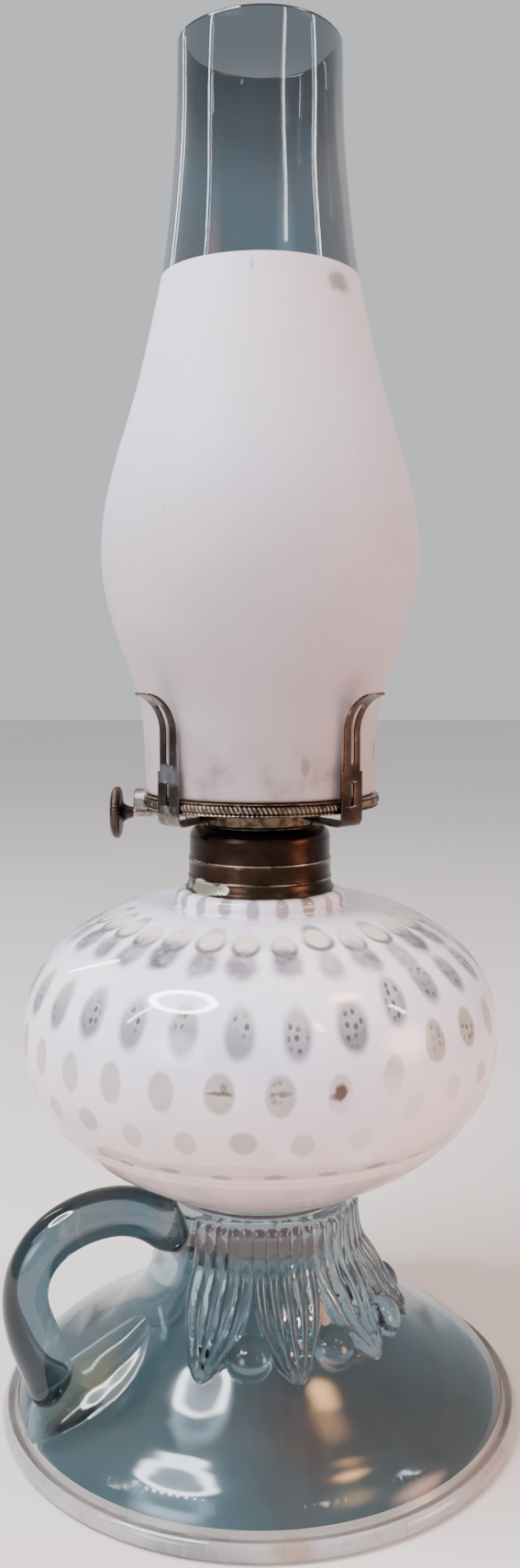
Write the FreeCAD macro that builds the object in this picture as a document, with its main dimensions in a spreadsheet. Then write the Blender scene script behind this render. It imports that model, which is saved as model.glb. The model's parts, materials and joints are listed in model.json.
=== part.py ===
import FreeCAD, Part
import os, math, re
import Sketcher

# Kerosene finger lamp: pressed clear-glass foot with an applied handle, blown
# opalescent font, brass collar, flat-wick burner and a half-frosted chimney.
# Millimetres, +Z up, origin at the centre of the foot's resting ring.

V = FreeCAD.Vector
doc = FreeCAD.newDocument("oil_lamp")

# ---------------------------------------------------------------- sheet ----
sheet = doc.addObject("Spreadsheet::Sheet", "dims")
SIZES = [
    # foot
    ("foot_rim_rad", 73.8), ("foot_rest_out", 72.6), ("foot_rest_in", 68.8),
    ("foot_top_rad", 26.8), ("foot_top_z", 64.6), ("foot_hollow_z", 52.6),
    # joining wafer
    ("wafer_rad", 26.1), ("wafer_thick", 1.4),
    # font
    ("font_belly_rad", 66.6), ("font_belly_z", 110.0), ("font_seam_rad", 58.5),
    ("font_seam_z", 86.8), ("font_wall", 3.0), ("font_bore", 14.2),
    ("font_neck_rad", 17.6), ("font_shoulder_rad", 21.6),
    ("font_ring_rad", 23.7), ("font_groove_rad", 24.8), ("font_groove_z", 144.8),
    ("font_shoulder_z", 149.2), ("font_neck_z", 157.6), ("font_foot_rad", 28.0),
    # handle
    ("handle_turn_deg", 23.0), ("handle_rad", 6.4), ("pad_long", 17.5),
    ("pad_wide", 12.0), ("pad_high", 4.6),
    # collar and its cement
    ("collar_rad", 19.6), ("collar_skirt_rad", 20.7), ("collar_wall", 0.8),
    ("collar_low_z", 149.2), ("collar_top_z", 167.1), ("thread_bore", 15.95),
    ("thread_depth", 0.4), ("sleeve_low_z", 158.6), ("cement_low_z", 150.2),
    ("cement_top_z", 164.0),
    # burner plug and bowl
    ("plug_crest", 15.6), ("plug_root", 15.15), ("plug_in", 14.6),
    ("plug_low_z", 158.7), ("bowl_rad", 16.3), ("bowl_wall", 0.6),
    ("bowl_low_z", 167.4), ("bowl_top_z", 170.9), ("well_z", 165.0),
    # gallery
    ("gal_rad", 33.1), ("gal_lip_in", 29.2), ("gal_top_z", 175.95),
    ("gal_edge_z", 173.3), ("gal_sheet", 0.8), ("lug_rad", 4.2),
    ("lug_z", 173.4), ("seat_clear", 32.15),
    # air deck and flame deflector
    ("deck_z", 175.0), ("deck_thick", 0.5), ("deck_in", 16.8),
    ("deck_hole", 0.85), ("cone_foot", 21.8), ("cone_rad", 19.2),
    ("cone_top_z", 192.2), ("cone_sheet", 0.5), ("cone_slot_long", 19.6),
    ("cone_slot_wide", 6.4),
    # wick and its tube
    ("wick_wide", 15.9), ("wick_thick", 3.2), ("wick_low_z", 98.0),
    ("wick_top_z", 186.5), ("wick_gap", 0.37), ("tube_wall", 0.4),
    ("tube_low_z", 150.0), ("tube_top_z", 184.5),
    # wick shaft, spur wheels and thumbwheel
    ("shaft_y", -5.6), ("shaft_z", 170.9), ("shaft_rad", 1.2),
    ("shaft_end", 10.4), ("bush_bore", 1.26), ("bush_rad", 2.2),
    ("bush_in", -13.5), ("bush_out", -20.4), ("spur_rad", 3.7),
    ("spur_thick", 1.2), ("spur_x", 4.6), ("spur_teeth", 12),
    ("wheel_rad", 7.1), ("wheel_out", -40.8), ("wheel_in", -38.0),
    # chimney prongs
    ("prong_wide", 8.0), ("prong_finger", 6.0), ("prong_thick", 0.55),
    ("prong_face", 33.4), ("prong_root", 18.6), ("prong_step_z", 183.7),
    ("prong_bend_z", 193.6), ("prong_tip", 43.4), ("rivet_at", 21.4),
    ("rivet_rad", 1.1), ("rivet_head", 1.8),
    # chimney
    ("chim_low_z", 176.3), ("chim_top_z", 374.0), ("chim_foot_rad", 31.75),
    ("chim_bulge_rad", 43.25), ("chim_mouth_rad", 21.9), ("chim_wall", 2.0),
    ("chim_fitter_z", 206.0), ("etch_line_z", 313.5),
]
for i, (name, value) in enumerate(SIZES, start=1):
    sheet.set("A%d" % i, name)
    sheet.set("B%d" % i, repr(float(value)) if not isinstance(value, int) else str(value))
    sheet.setAlias("B%d" % i, name)
doc.recompute()
NAMES = {n for n, _ in SIZES}
D = {n: float(getattr(sheet, n)) for n in NAMES}


def bound(expr):
    """Sheet form of a size expression."""
    return re.sub(r"[a-z_]+", lambda w: "dims." + w.group(0) if w.group(0) in NAMES else w.group(0), expr)


def worth(expr):
    """Number of a size expression, from the sheet's own cells."""
    total, text = 0.0, expr.replace(" ", "").replace("-", "+-")
    for term in [t for t in text.split("+") if t]:
        sign = 1.0
        if term.startswith("-"):
            sign, term = -1.0, term[1:]
        prod = 1.0
        for k, f in enumerate(re.split(r"([*/])", term)):
            if f in "*/":
                op = f
                continue
            num = D[f] if f in D else float(f)
            prod = num if k == 0 else (prod * num if op == "*" else prod / num)
        total += sign * prod
    return total


NODES = []


def keep(obj, label):
    obj.Label = label
    NODES.append(obj)
    return obj


def plane_of(body, role):
    return [f for f in body.Origin.OriginFeatures if f.Role == role][0]


def closed_sketch(body, name, role, pts):
    """Closed outline through points given as pairs of size expressions."""
    sk = body.newObject("Sketcher::SketchObject", name)
    sk.AttachmentSupport = [(plane_of(body, role), "")]
    sk.MapMode = "FlatFace"
    n = len(pts)
    xy = [(worth(a), worth(b)) for a, b in pts]
    for i in range(n):
        a, b = xy[i], xy[(i + 1) % n]
        sk.addGeometry(Part.LineSegment(V(a[0], a[1], 0), V(b[0], b[1], 0)), False)
    for i in range(n):
        sk.addConstraint(Sketcher.Constraint("Coincident", i, 2, (i + 1) % n, 1))
    for i, (a, b) in enumerate(pts):
        for kind, val, expr, axis in (("DistanceX", xy[i][0], a, -2), ("DistanceY", xy[i][1], b, -1)):
            if abs(val) < 1e-9:
                sk.addConstraint(Sketcher.Constraint("PointOnObject", i, 1, axis))
            elif val > 0:
                k = sk.addConstraint(Sketcher.Constraint(kind, -1, 1, i, 1, val))
                cname = "%s_%s" % ("x" if kind == "DistanceX" else "y", "abcdefghijklmnopqrstuvwxyz"[i // 26] + "abcdefghijklmnopqrstuvwxyz"[i % 26])
                sk.renameConstraint(k, cname)
                sk.setExpression("Constraints." + cname, bound(expr))
            else:
                k = sk.addConstraint(Sketcher.Constraint(kind, i, 1, -1, 1, -val))
                cname = "%s_%s" % ("x" if kind == "DistanceX" else "y", "abcdefghijklmnopqrstuvwxyz"[i // 26] + "abcdefghijklmnopqrstuvwxyz"[i % 26])
                sk.renameConstraint(k, cname)
                sk.setExpression("Constraints." + cname, bound("0 - (%s)" % expr))
    return sk


def turned(label, pts):
    """Piece spun or turned about the lamp's axis: radius, height pairs."""
    body = doc.addObject("PartDesign::Body", label + "_body")
    sk = closed_sketch(body, label + "_outline", "XZ_Plane", pts)
    rev = body.newObject("PartDesign::Revolution", label + "_turn")
    rev.Profile = sk
    rev.ReferenceAxis = (sk, ["V_Axis"])
    rev.Angle = 360.0
    body.Tip = rev
    doc.recompute()
    return body


def box(name, x, y, z, dx, dy, dz):
    """Block from its low corner and its three sizes, all bound to the sheet."""
    b = doc.addObject("Part::Box", name)
    for prop, e in (("Length", dx), ("Width", dy), ("Height", dz)):
        b.setExpression(prop, bound(e))
    for prop, e in (("x", x), ("y", y), ("z", z)):
        b.setExpression(".Placement.Base." + prop, bound(e))
    return b


def rod_x(name, rad, x0, length, y="shaft_y", z="shaft_z"):
    """Round bar along X."""
    c = doc.addObject("Part::Cylinder", name)
    c.setExpression("Radius", bound(rad))
    c.setExpression("Height", bound(length))
    c.Placement = FreeCAD.Placement(V(0, 0, 0), FreeCAD.Rotation(V(0, 1, 0), 90))
    for prop, e in (("x", x0), ("y", y), ("z", z)):
        c.setExpression(".Placement.Base." + prop, bound(e))
    return c


def cut(name, base, tools):
    tool = tools[0]
    if len(tools) > 1:
        tool = doc.addObject("Part::MultiFuse", name + "_tools")
        tool.Shapes = tools
    c = doc.addObject("Part::Cut", name)
    c.Base, c.Tool = base, tool
    return c


def fuse(name, shapes):
    f = doc.addObject("Part::MultiFuse", name)
    f.Shapes = shapes
    return f


# ------------------------------------------------------- blown glass ------
def spline(pts):
    c = Part.BSplineCurve()
    c.interpolate([V(r, 0, z) for r, z in pts])
    return c.toShape()


def line(a, b):
    return Part.makeLine(V(a[0], 0, a[1]), V(b[0], 0, b[1]))


def spin(edges):
    wire = Part.Wire(Part.__sortEdges__(edges))
    solid = Part.Face(wire).revolve(V(0, 0, 0), V(0, 0, 1), 360)
    if solid.ShapeType != "Solid":
        solid = solid.Solids[0]
    return solid


def inset(pts, wall):
    """Points moved square to the outline, towards the axis, by the wall."""
    out = []
    for i, (r, z) in enumerate(pts):
        a, b = pts[max(i - 1, 0)], pts[min(i + 1, len(pts) - 1)]
        dr, dz = b[0] - a[0], b[1] - a[1]
        ln = math.hypot(dr, dz)
        out.append((r - wall * abs(dz) / ln, z + wall * (dr if dz > 0 else -dr) / ln))
    return out


def glass(label, shape):
    f = doc.addObject("Part::Feature", label + "_glass")
    f.Shape = shape
    f.Placement = FreeCAD.Placement(V(0, 0, 0), FreeCAD.Rotation(0, 0, 0))
    return keep(f, label)


# foot: flared limb over a low dome, rounded rim with a groove inside it
rim = D["foot_rim_rad"]
limb = [(D["foot_top_rad"], D["foot_top_z"]), (26.95, 60.0), (27.2, 54.8), (28.0, 49.2), (29.8, 43.5), (32.2, 37.8),
        (35.0, 32.8), (38.5, 28.7), (42.0, 25.6), (46.0, 22.6), (50.0, 20.0), (54.0, 18.0),
        (58.0, 15.9), (62.0, 13.5), (66.0, 10.5), (68.5, 7.6), (69.7, 5.2)]
edge_out = [(69.7, 5.2), (70.6, 4.35), (71.7, 4.6), (73.1, 3.9), (rim, 2.6), (rim - 0.2, 0.9), (D["foot_rest_out"], 0.0)]
hollow = [(D["foot_rest_in"], 0.0), (68.2, 1.2), (66.4, 3.8), (62.0, 7.6), (58.0, 9.9), (54.0, 12.1), (50.0, 14.3),
          (46.0, 16.8), (42.0, 19.7), (38.0, 22.8), (33.5, 26.2), (29.0, 30.0), (25.5, 34.6), (23.2, 40.0),
          (21.5, 45.0), (18.6, 49.0), (13.0, 51.6), (6.5, 52.4), (0.0, D["foot_hollow_z"])]
rim_pts = edge_out[1:]
foot_outer = [spline(limb), line(edge_out[0], edge_out[1]), spline(rim_pts)]
foot_shape = spin(foot_outer + [line(rim_pts[-1], hollow[0]), spline(hollow),
                                line(hollow[-1], (0, D["foot_top_z"])), line((0, D["foot_top_z"]), limb[0])])
foot_block = spin([spline(limb), line(edge_out[0], edge_out[1]), spline(rim_pts), line(rim_pts[-1], (0, 0)),
                   line((0, 0), (0, D["foot_top_z"])), line((0, D["foot_top_z"]), limb[0])])
glass("foot", foot_shape)

# wafer of clear glass between the foot and the font
wafer = doc.addObject("Part::Cylinder", "wafer_disc")
wafer.setExpression("Radius", bound("wafer_rad"))
wafer.setExpression("Height", bound("wafer_thick"))
wafer.setExpression(".Placement.Base.z", bound("foot_top_z"))
keep(wafer, "joining_wafer")

# font: squat blown bowl, mould seam below the belly, rolled neck ring, short stub neck
fz = D["foot_top_z"] + D["wafer_thick"]
seam_r, seam_z = D["font_seam_rad"], D["font_seam_z"]
ring_r, gr_r, gr_z = D["font_ring_rad"], D["font_groove_rad"], D["font_groove_z"]
neck_ring = [(D["font_shoulder_rad"], D["font_shoulder_z"]), (ring_r - 0.9, 148.7), (ring_r - 0.2, 147.7), (ring_r, 146.6),
             (ring_r - 0.1, 145.6), (gr_r - 0.8, gr_z + 0.15), (gr_r, gr_z)]
upper = [(gr_r, gr_z), (28.0, 145.2), (32.0, 145.15), (36.5, 144.3), (41.5, 142.5), (47.2, 139.9),
         (53.3, 136.0), (59.0, 131.0), (63.0, 125.0), (65.5, 118.0), (D["font_belly_rad"], D["font_belly_z"]),
         (66.0, 103.0), (64.0, 96.0), (60.8, 90.4), (seam_r - 0.8, seam_z + 0.8)]
lower = [(seam_r - 1.3, seam_z - 1.6), (54.0, 82.0), (49.5, 78.2), (43.6, 74.2), (38.0, 70.9), (33.0, 68.3),
         (D["font_foot_rad"], fz)]
wall = D["font_wall"]
in_low = [(50.6, 83.4), (45.6, 79.6), (39.6, 76.0), (33.0, 73.0), (24.0, 70.8), (12.0, 69.7), (0.0, 69.5)]
in_up = [(D["font_bore"], 150.2), (15.2, 147.4), (17.6, 144.6), (21.5, 142.7), (28.0, 141.8), (36.0, 140.4), (43.6, 137.5), (50.6, 133.5),
         (56.4, 128.5), (60.2, 123.0), (62.5, 117.2), (D["font_belly_rad"] - wall, 110.2), (63.0, 103.8), (61.1, 97.3),
         (57.7, 91.0), (54.8, 87.2), in_low[0]]
ledge = [(upper[-1]), (seam_r, seam_z + 0.2), (seam_r - 0.2, seam_z - 0.9), lower[0]]
edges = [spline(neck_ring), spline(upper)] + [line(ledge[i], ledge[i + 1]) for i in range(3)] + [spline(lower),
        line(lower[-1], (0, fz)), line((0, fz), in_low[-1]), spline(in_low), spline(in_up),
        line(in_up[0], (D["font_bore"], D["font_neck_z"])),
        line((D["font_bore"], D["font_neck_z"]), (D["font_neck_rad"], D["font_neck_z"])),
        line((D["font_neck_rad"], D["font_neck_z"]), (D["font_neck_rad"], D["font_shoulder_z"])),
        line((D["font_neck_rad"], D["font_shoulder_z"]), neck_ring[0])]
glass("oil_font", spin(edges))

# handle: round rope of glass looped from the foot's dome up to the limb's top
turn = math.radians(D["handle_turn_deg"])
out = V(-math.cos(turn), -math.sin(turn), 0)
side = V(math.sin(turn), -math.cos(turn), 0)
h = D["handle_rad"]
loop = [(59.4, 12.6, 0.62 * h), (60.9, 15.6, 0.93 * h), (62.6, 19.6, 1.02 * h), (65.8, 29.4, 1.10 * h), (68.4, 40.4, 1.0 * h),
        (67.0, 49.4, 0.97 * h), (61.4, 56.8, 1.0 * h), (50.9, 61.5, 1.06 * h), (40.2, 61.6, 1.07 * h),
        (31.3, 58.0, 1.05 * h), (26.6, 54.4, 0.98 * h), (24.2, 52.4, 0.7 * h)]
path = Part.BSplineCurve()
path.interpolate([out * r + V(0, 0, z) for r, z, _ in loop])
hoops, steps = [], 30
knots = [path.parameter(out * r + V(0, 0, z)) for r, z, _ in loop]
for k in range(steps + 1):
    t = path.FirstParameter + (path.LastParameter - path.FirstParameter) * k / steps
    j = max(i for i in range(len(knots)) if knots[i] <= t + 1e-9)
    j = min(j, len(knots) - 2)
    f = (t - knots[j]) / (knots[j + 1] - knots[j])
    rad = loop[j][2] * (1 - f) + loop[j + 1][2] * f
    c, tan = path.value(t), path.tangent(t)[0]
    up = side.cross(tan)
    up.normalize()
    a, b, e, g = c + side * rad, c + up * rad, c - side * rad, c - up * rad
    hoops.append(Part.Wire([Part.Arc(a, b, e).toShape(), Part.Arc(e, g, a).toShape()]))
rope = Part.makeLoft(hoops, True, False)
pad = Part.makeSphere(1.0)
scale = FreeCAD.Matrix()
scale.scale(D["pad_long"], D["pad_wide"], D["pad_high"])
pad = pad.transformGeometry(scale)
pad.rotate(V(0, 0, 0), V(0, 1, 0), -30)
pad.rotate(V(0, 0, 0), V(0, 0, 1), 27)
pad.translate(V(-47.0, -25.0, 16.2))
handle = rope.fuse(pad).cut(foot_block)
handle = max(handle.Solids, key=lambda s: s.Volume)
glass("finger_handle", handle)

# chimney: bulged flue, straight foot, clear mouth
flue = [(D["chim_foot_rad"], D["chim_low_z"]), (31.75, 183.0), (32.0, 190.0), (32.25, 195.0), (32.9, 200.0), (34.2, 205.0), (37.9, 215.0),
        (41.1, 225.0), (43.05, 235.0), (D["chim_bulge_rad"], 243.0), (41.9, 255.0), (37.9, 270.0), (33.3, 285.0),
        (29.6, 300.0), (26.9, 312.0), (24.2, 330.0), (22.5, 350.0), (D["chim_mouth_rad"], D["chim_top_z"])]
flue_in = inset(flue, D["chim_wall"])
flue_in[0] = (D["chim_foot_rad"] - D["chim_wall"], D["chim_low_z"])
flue_in[-1] = (D["chim_mouth_rad"] - D["chim_wall"], D["chim_top_z"])
blown = spin([spline(flue), line(flue[-1], flue_in[-1]), spline(flue_in), line(flue_in[0], flue[0])])


def band(shape, low, high):
    """The part of a turned shape between two heights."""
    return shape.common(Part.makeCylinder(60.0, high - low, V(0, 0, low), V(0, 0, 1))).Solids[0]


# etched body: straight fitter below, bulge above; then the clear mouth, all one glass
glass("chimney", Part.makeCompound([band(blown, D["chim_low_z"] - 1.0, D["chim_fitter_z"]), band(blown, D["chim_fitter_z"], D["etch_line_z"])]))
glass("chimney_mouth", band(blown, D["etch_line_z"], D["chim_top_z"] + 1.0))

# ------------------------------------------------------------- collar -----
# spun brass shell with three steps outside and a rolled thread inside
keep(turned("collar", [
    ("collar_skirt_rad - collar_wall - 0.6", "collar_low_z + 0.02"), ("collar_skirt_rad", "collar_low_z + 0.02"),
    ("collar_skirt_rad - 0.1", "collar_low_z + 0.7"), ("collar_rad + 0.35", "collar_low_z + 2.0"), ("collar_rad + 0.2", "collar_low_z + 3.2"),
    ("collar_rad + 0.45", "collar_low_z + 3.5"), ("collar_rad + 0.2", "collar_low_z + 3.9"), ("collar_rad + 0.15", "collar_low_z + 8.2"),
    ("collar_rad + 0.35", "collar_low_z + 8.6"), ("collar_rad", "collar_low_z + 9.1"), ("collar_rad", "collar_top_z - 3.3"),
    ("collar_rad - 0.3", "collar_top_z - 2.0"), ("collar_rad - 1.1", "collar_top_z - 0.8"), ("collar_rad - 2.3", "collar_top_z - 0.1"),
    ("collar_rad - 3.1", "collar_top_z"), ("thread_bore", "collar_top_z"),
    ("thread_bore", "collar_top_z - 1.0"), ("thread_bore + thread_depth", "collar_top_z - 1.6"), ("thread_bore", "collar_top_z - 2.2"),
    ("thread_bore", "collar_top_z - 3.0"), ("thread_bore + thread_depth", "collar_top_z - 3.6"), ("thread_bore", "collar_top_z - 4.2"),
    ("thread_bore", "collar_top_z - 5.0"), ("thread_bore + thread_depth", "collar_top_z - 5.6"), ("thread_bore", "collar_top_z - 6.2"),
    ("thread_bore", "sleeve_low_z"), ("thread_bore + collar_wall", "sleeve_low_z"),
    ("thread_bore + collar_wall", "cement_top_z"), ("collar_rad - 1.1 * collar_wall", "cement_top_z"),
    ("collar_rad - 1.1 * collar_wall", "cement_low_z"), ("collar_skirt_rad - collar_wall - 0.6", "cement_low_z")]), "collar")

keep(turned("collar_plaster", [
    ("font_neck_rad", "cement_low_z"), ("collar_rad - 1.1 * collar_wall", "cement_low_z"), ("collar_rad - 1.1 * collar_wall", "cement_top_z"),
    ("thread_bore + collar_wall", "cement_top_z"), ("thread_bore + collar_wall", "font_neck_z"), ("font_neck_rad", "font_neck_z")]),
    "collar_plaster")

# -------------------------------------------------------------- burner ----
keep(turned("thread_plug", [
    ("plug_in", "plug_low_z"), ("plug_root", "plug_low_z"), ("plug_root", "plug_low_z + 0.9"), ("plug_crest", "plug_low_z + 1.5"),
    ("plug_root", "plug_low_z + 2.1"), ("plug_root", "plug_low_z + 2.9"), ("plug_crest", "plug_low_z + 3.5"), ("plug_root", "plug_low_z + 4.1"),
    ("plug_root", "plug_low_z + 4.9"), ("plug_crest", "plug_low_z + 5.5"), ("plug_root", "plug_low_z + 6.1"),
    ("plug_root", "plug_low_z + 6.9"), ("plug_crest", "plug_low_z + 7.4"), ("plug_crest", "bowl_low_z"), ("plug_in", "bowl_low_z")]),
    "thread_plug")

# wick tube: flat brass tube with two windows for the spur wheels
inner_w, inner_t = "wick_wide + 2 * wick_gap", "wick_thick + 2 * wick_gap"
outer_w = inner_w + " + 2 * tube_wall"
outer_t = inner_t + " + 2 * tube_wall"
tube_out = box("tube_outer", "0 - wick_wide / 2 - wick_gap - tube_wall", "0 - wick_thick / 2 - wick_gap - tube_wall", "tube_low_z",
               outer_w, outer_t, "tube_top_z - tube_low_z")
tube_in = box("tube_inner", "0 - wick_wide / 2 - wick_gap", "0 - wick_thick / 2 - wick_gap", "tube_low_z - 1",
              inner_w, inner_t, "tube_top_z - tube_low_z + 2")
win_l = box("window_left", "0 - spur_x - spur_thick / 2 - 0.5", "0 - wick_thick / 2 - wick_gap - tube_wall - 0.5", "shaft_z - 3.1",
            "spur_thick + 1", "tube_wall + 0.9", "6.2")
win_r = box("window_right", "spur_x - spur_thick / 2 - 0.5", "0 - wick_thick / 2 - wick_gap - tube_wall - 0.5", "shaft_z - 3.1",
            "spur_thick + 1", "tube_wall + 0.9", "6.2")
keep(cut("wick_tube_cut", tube_out, [tube_in, win_l, win_r]), "wick_tube")

# bowl: shallow cup that closes the burner's bottom, slotted for the tube
bowl = turned("bowl", [
    ("0", "well_z"), ("plug_in - 0.3", "well_z"), ("plug_in - 0.3", "bowl_low_z"), ("bowl_rad - 0.5", "bowl_low_z"),
    ("bowl_rad", "bowl_low_z + 0.5"), ("bowl_rad", "bowl_top_z"),
    ("bowl_rad - bowl_wall", "bowl_top_z"), ("bowl_rad - bowl_wall", "bowl_low_z + bowl_wall"),
    ("plug_in - 0.3 - bowl_wall", "bowl_low_z + bowl_wall"), ("plug_in - 0.3 - bowl_wall", "well_z + bowl_wall"), ("0", "well_z + bowl_wall")])
bowl_slot = box("bowl_slot", "0 - wick_wide / 2 - wick_gap - tube_wall", "0 - wick_thick / 2 - wick_gap - tube_wall", "well_z - 1",
                outer_w, outer_t, "3")
bowl_hole = rod_x("bowl_hole", "bush_rad", "bush_out", "bush_in - bush_out")
keep(cut("bowl_cut", bowl, [bowl_slot, bowl_hole]), "burner_bowl")

# gallery: dished ring with a turned-in lip that seats the chimney
dish = turned("dish", [
    ("bowl_rad - bowl_wall", "bowl_top_z"), ("bowl_rad + 0.7", "bowl_top_z"), ("gal_rad - 5.5", "gal_edge_z - 1.4"), ("gal_rad - 0.9", "gal_edge_z - 0.7"),
    ("gal_rad", "gal_edge_z"), ("gal_rad", "gal_top_z - 0.45"), ("gal_rad - 0.4", "gal_top_z"), ("gal_lip_in", "gal_top_z"),
    ("gal_lip_in", "gal_top_z - gal_sheet - 0.15"), ("gal_rad - 1.5", "gal_top_z - gal_sheet - 0.15"), ("gal_rad - 1.7", "gal_edge_z + 0.3"),
    ("gal_rad - 5.6", "gal_edge_z - 0.55"), ("bowl_rad + 0.7", "bowl_top_z + gal_sheet"), ("bowl_rad - bowl_wall", "bowl_top_z + gal_sheet")])
lug_bar = rod_x("lug_bar", "lug_rad", "0 - gal_rad - 1.3", "3.2", "shaft_y", "lug_z")
tunnel = rod_x("tunnel_bar", "shaft_rad + 1.5", "0 - gal_rad + 0.4", "13.4")
dish_lug = fuse("dish_lug", [dish, lug_bar, tunnel])
seat = doc.addObject("Part::Cylinder", "seat_clearance")
seat.setExpression("Radius", bound("seat_clear"))
seat.Height = 20
seat.setExpression(".Placement.Base.z", bound("gal_top_z"))
under = box("lug_trim", "0 - gal_rad - 3", "shaft_y - 6", "shaft_z - 8", "20", "12", "8.6")
way = rod_x("shaft_way", "shaft_rad + 0.45", "0 - gal_rad - 3", "21")
bush_seat = rod_x("bush_seat", "bush_rad", "bush_out", "bush_in - bush_out")
slot_low = box("way_low", "0 - gal_rad - 3", "shaft_y - shaft_rad - 0.45", "shaft_z - 4", "21", "2 * shaft_rad + 0.9", "4")
keep(cut("gallery_cut", dish_lug, [seat, way, bush_seat, slot_low, under]), "gallery")

# bush that carries the wick shaft through the bowl's wall
bush = rod_x("bush_bar", "bush_rad", "bush_out", "bush_in - bush_out")
bush_bore = rod_x("bush_bore_bar", "bush_bore", "bush_out - 1", "bush_in - bush_out + 2")
keep(cut("bush_cut", bush, [bush_bore]), "shaft_bush")

# bracket: three-sided strap behind the wheels; its far ear is a bearing
br_y = "shaft_y - spur_rad - 0.9"
plate = box("bracket_plate", "0 - 9.9", br_y, "bowl_low_z + bowl_wall", "19.8", "0.6", "6.6")
ear_l = box("ear_left", "0 - 9.9", br_y, "bowl_low_z + bowl_wall", "0.7", "spur_rad + 3.1", "6.6")
ear_r = box("ear_right", "9.2", br_y, "bowl_low_z + bowl_wall", "0.7", "spur_rad + 3.1", "6.6")
ear_bore = rod_x("ear_bores", "bush_bore", "0 - 12", "24")
keep(cut("bracket_cut", fuse("bracket_strap", [plate, ear_l, ear_r]), [ear_bore]), "shaft_bracket")

# air deck: pierced plate that spreads the draught
deck = turned("deck", [("deck_in", "deck_z"), ("gal_lip_in", "deck_z"), ("gal_lip_in", "deck_z + deck_thick"), ("deck_in", "deck_z + deck_thick")])


def ring_of_holes(body, name, radius, count):
    sk = body.newObject("Sketcher::SketchObject", name + "_sketch")
    sk.AttachmentSupport = [(plane_of(body, "XY_Plane"), "")]
    sk.MapMode = "FlatFace"
    sk.addGeometry(Part.Circle(V(radius, 0, 0), V(0, 0, 1), D["deck_hole"]), False)
    sk.addConstraint(Sketcher.Constraint("PointOnObject", 0, 3, -1))
    k = sk.addConstraint(Sketcher.Constraint("DistanceX", -1, 1, 0, 3, radius))
    k = sk.addConstraint(Sketcher.Constraint("Radius", 0, D["deck_hole"]))
    sk.renameConstraint(k, "hole")
    sk.setExpression("Constraints.hole", bound("deck_hole"))
    before = body.Shape.Volume
    p = body.newObject("PartDesign::Pocket", name)
    p.Profile = sk
    p.Type = "ThroughAll"
    p.Reversed = True
    doc.recompute()
    if body.Shape.Volume >= before - 1e-6:
        p.Reversed = False
        doc.recompute()
    if body.Shape.Volume >= before - 1e-6:
        raise RuntimeError(name + " cut nothing")
    pol = body.newObject("PartDesign::PolarPattern", name + "_ring")
    pol.Originals = [p]
    pol.Axis = ([f for f in body.Origin.OriginFeatures if f.Role == "Z_Axis"][0], [""])
    pol.Angle = 360
    pol.Occurrences = count
    body.Tip = pol
    doc.recompute()


ring_of_holes(deck, "outer_holes", 27.4, 30)
ring_of_holes(deck, "inner_holes", 24.4, 26)
keep(deck, "air_deck")

# flame deflector: domed cap with a long slot over the wick
cap = turned("cap", [
    ("cone_rad - cone_sheet", "deck_z + deck_thick"), ("cone_foot", "deck_z + deck_thick"), ("cone_foot", "deck_z + deck_thick + cone_sheet"),
    ("cone_rad", "deck_z + deck_thick + cone_sheet"), ("cone_rad - 0.5", "deck_z + 5"), ("cone_rad - 2.0", "deck_z + 9.4"), ("cone_rad - 5.0", "cone_top_z - 4.0"),
    ("cone_rad - 9.2", "cone_top_z - 1.6"), ("cone_rad - 14.2", "cone_top_z - 0.3"), ("0", "cone_top_z"), ("0", "cone_top_z - cone_sheet"),
    ("cone_rad - 14.3", "cone_top_z - 0.3 - cone_sheet"), ("cone_rad - 9.5", "cone_top_z - 1.6 - cone_sheet"), ("cone_rad - 5.4", "cone_top_z - 4.0 - cone_sheet"),
    ("cone_rad - 2.5", "deck_z + 9.2"), ("cone_rad - 1.0", "deck_z + 4.9")])
cap_slot = box("cap_slot", "0 - cone_slot_long / 2", "0 - cone_slot_wide / 2", "cone_top_z - 6", "cone_slot_long", "cone_slot_wide", "9")
keep(cut("cap_cut", cap, [cap_slot]), "flame_deflector")

# ---------------------------------------------------------------- wick ----
keep(box("wick_tape", "0 - wick_wide / 2", "0 - wick_thick / 2", "wick_low_z", "wick_wide", "wick_thick", "wick_top_z - wick_low_z"), "wick")

# ----------------------------------------------- shaft, spurs and wheel ---
keep(rod_x("shaft_bar", "shaft_rad", "wheel_in", "shaft_end - wheel_in"), "wick_shaft")


def star(name, x0, thick):
    """Toothed wheel with sharp teeth, bored for the shaft."""
    n = int(D["spur_teeth"])
    tip, root = D["spur_rad"], D["spur_rad"] - 0.7
    pts = []
    for k in range(2 * n):
        a = math.pi * k / n
        rr = tip if k % 2 == 0 else root
        pts.append(V(0, rr * math.cos(a), rr * math.sin(a)))
    pts.append(pts[0])
    face = Part.Face(Part.makePolygon(pts))
    wheel = face.extrude(V(thick, 0, 0))
    wheel = wheel.cut(Part.makeCylinder(D["shaft_rad"], thick + 2, V(-1, 0, 0), V(1, 0, 0)))
    wheel.translate(V(x0, D["shaft_y"], D["shaft_z"]))
    return wheel


half = D["spur_thick"] / 2
spurs = doc.addObject("Part::Feature", "spur_pair")
spurs.Shape = Part.makeCompound([star("left", -D["spur_x"] - half, D["spur_thick"]), star("right", D["spur_x"] - half, D["spur_thick"])])
spurs.Placement = FreeCAD.Placement(V(0, 0, 0), FreeCAD.Rotation(0, 0, 0))
keep(spurs, "spur_wheels")

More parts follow.
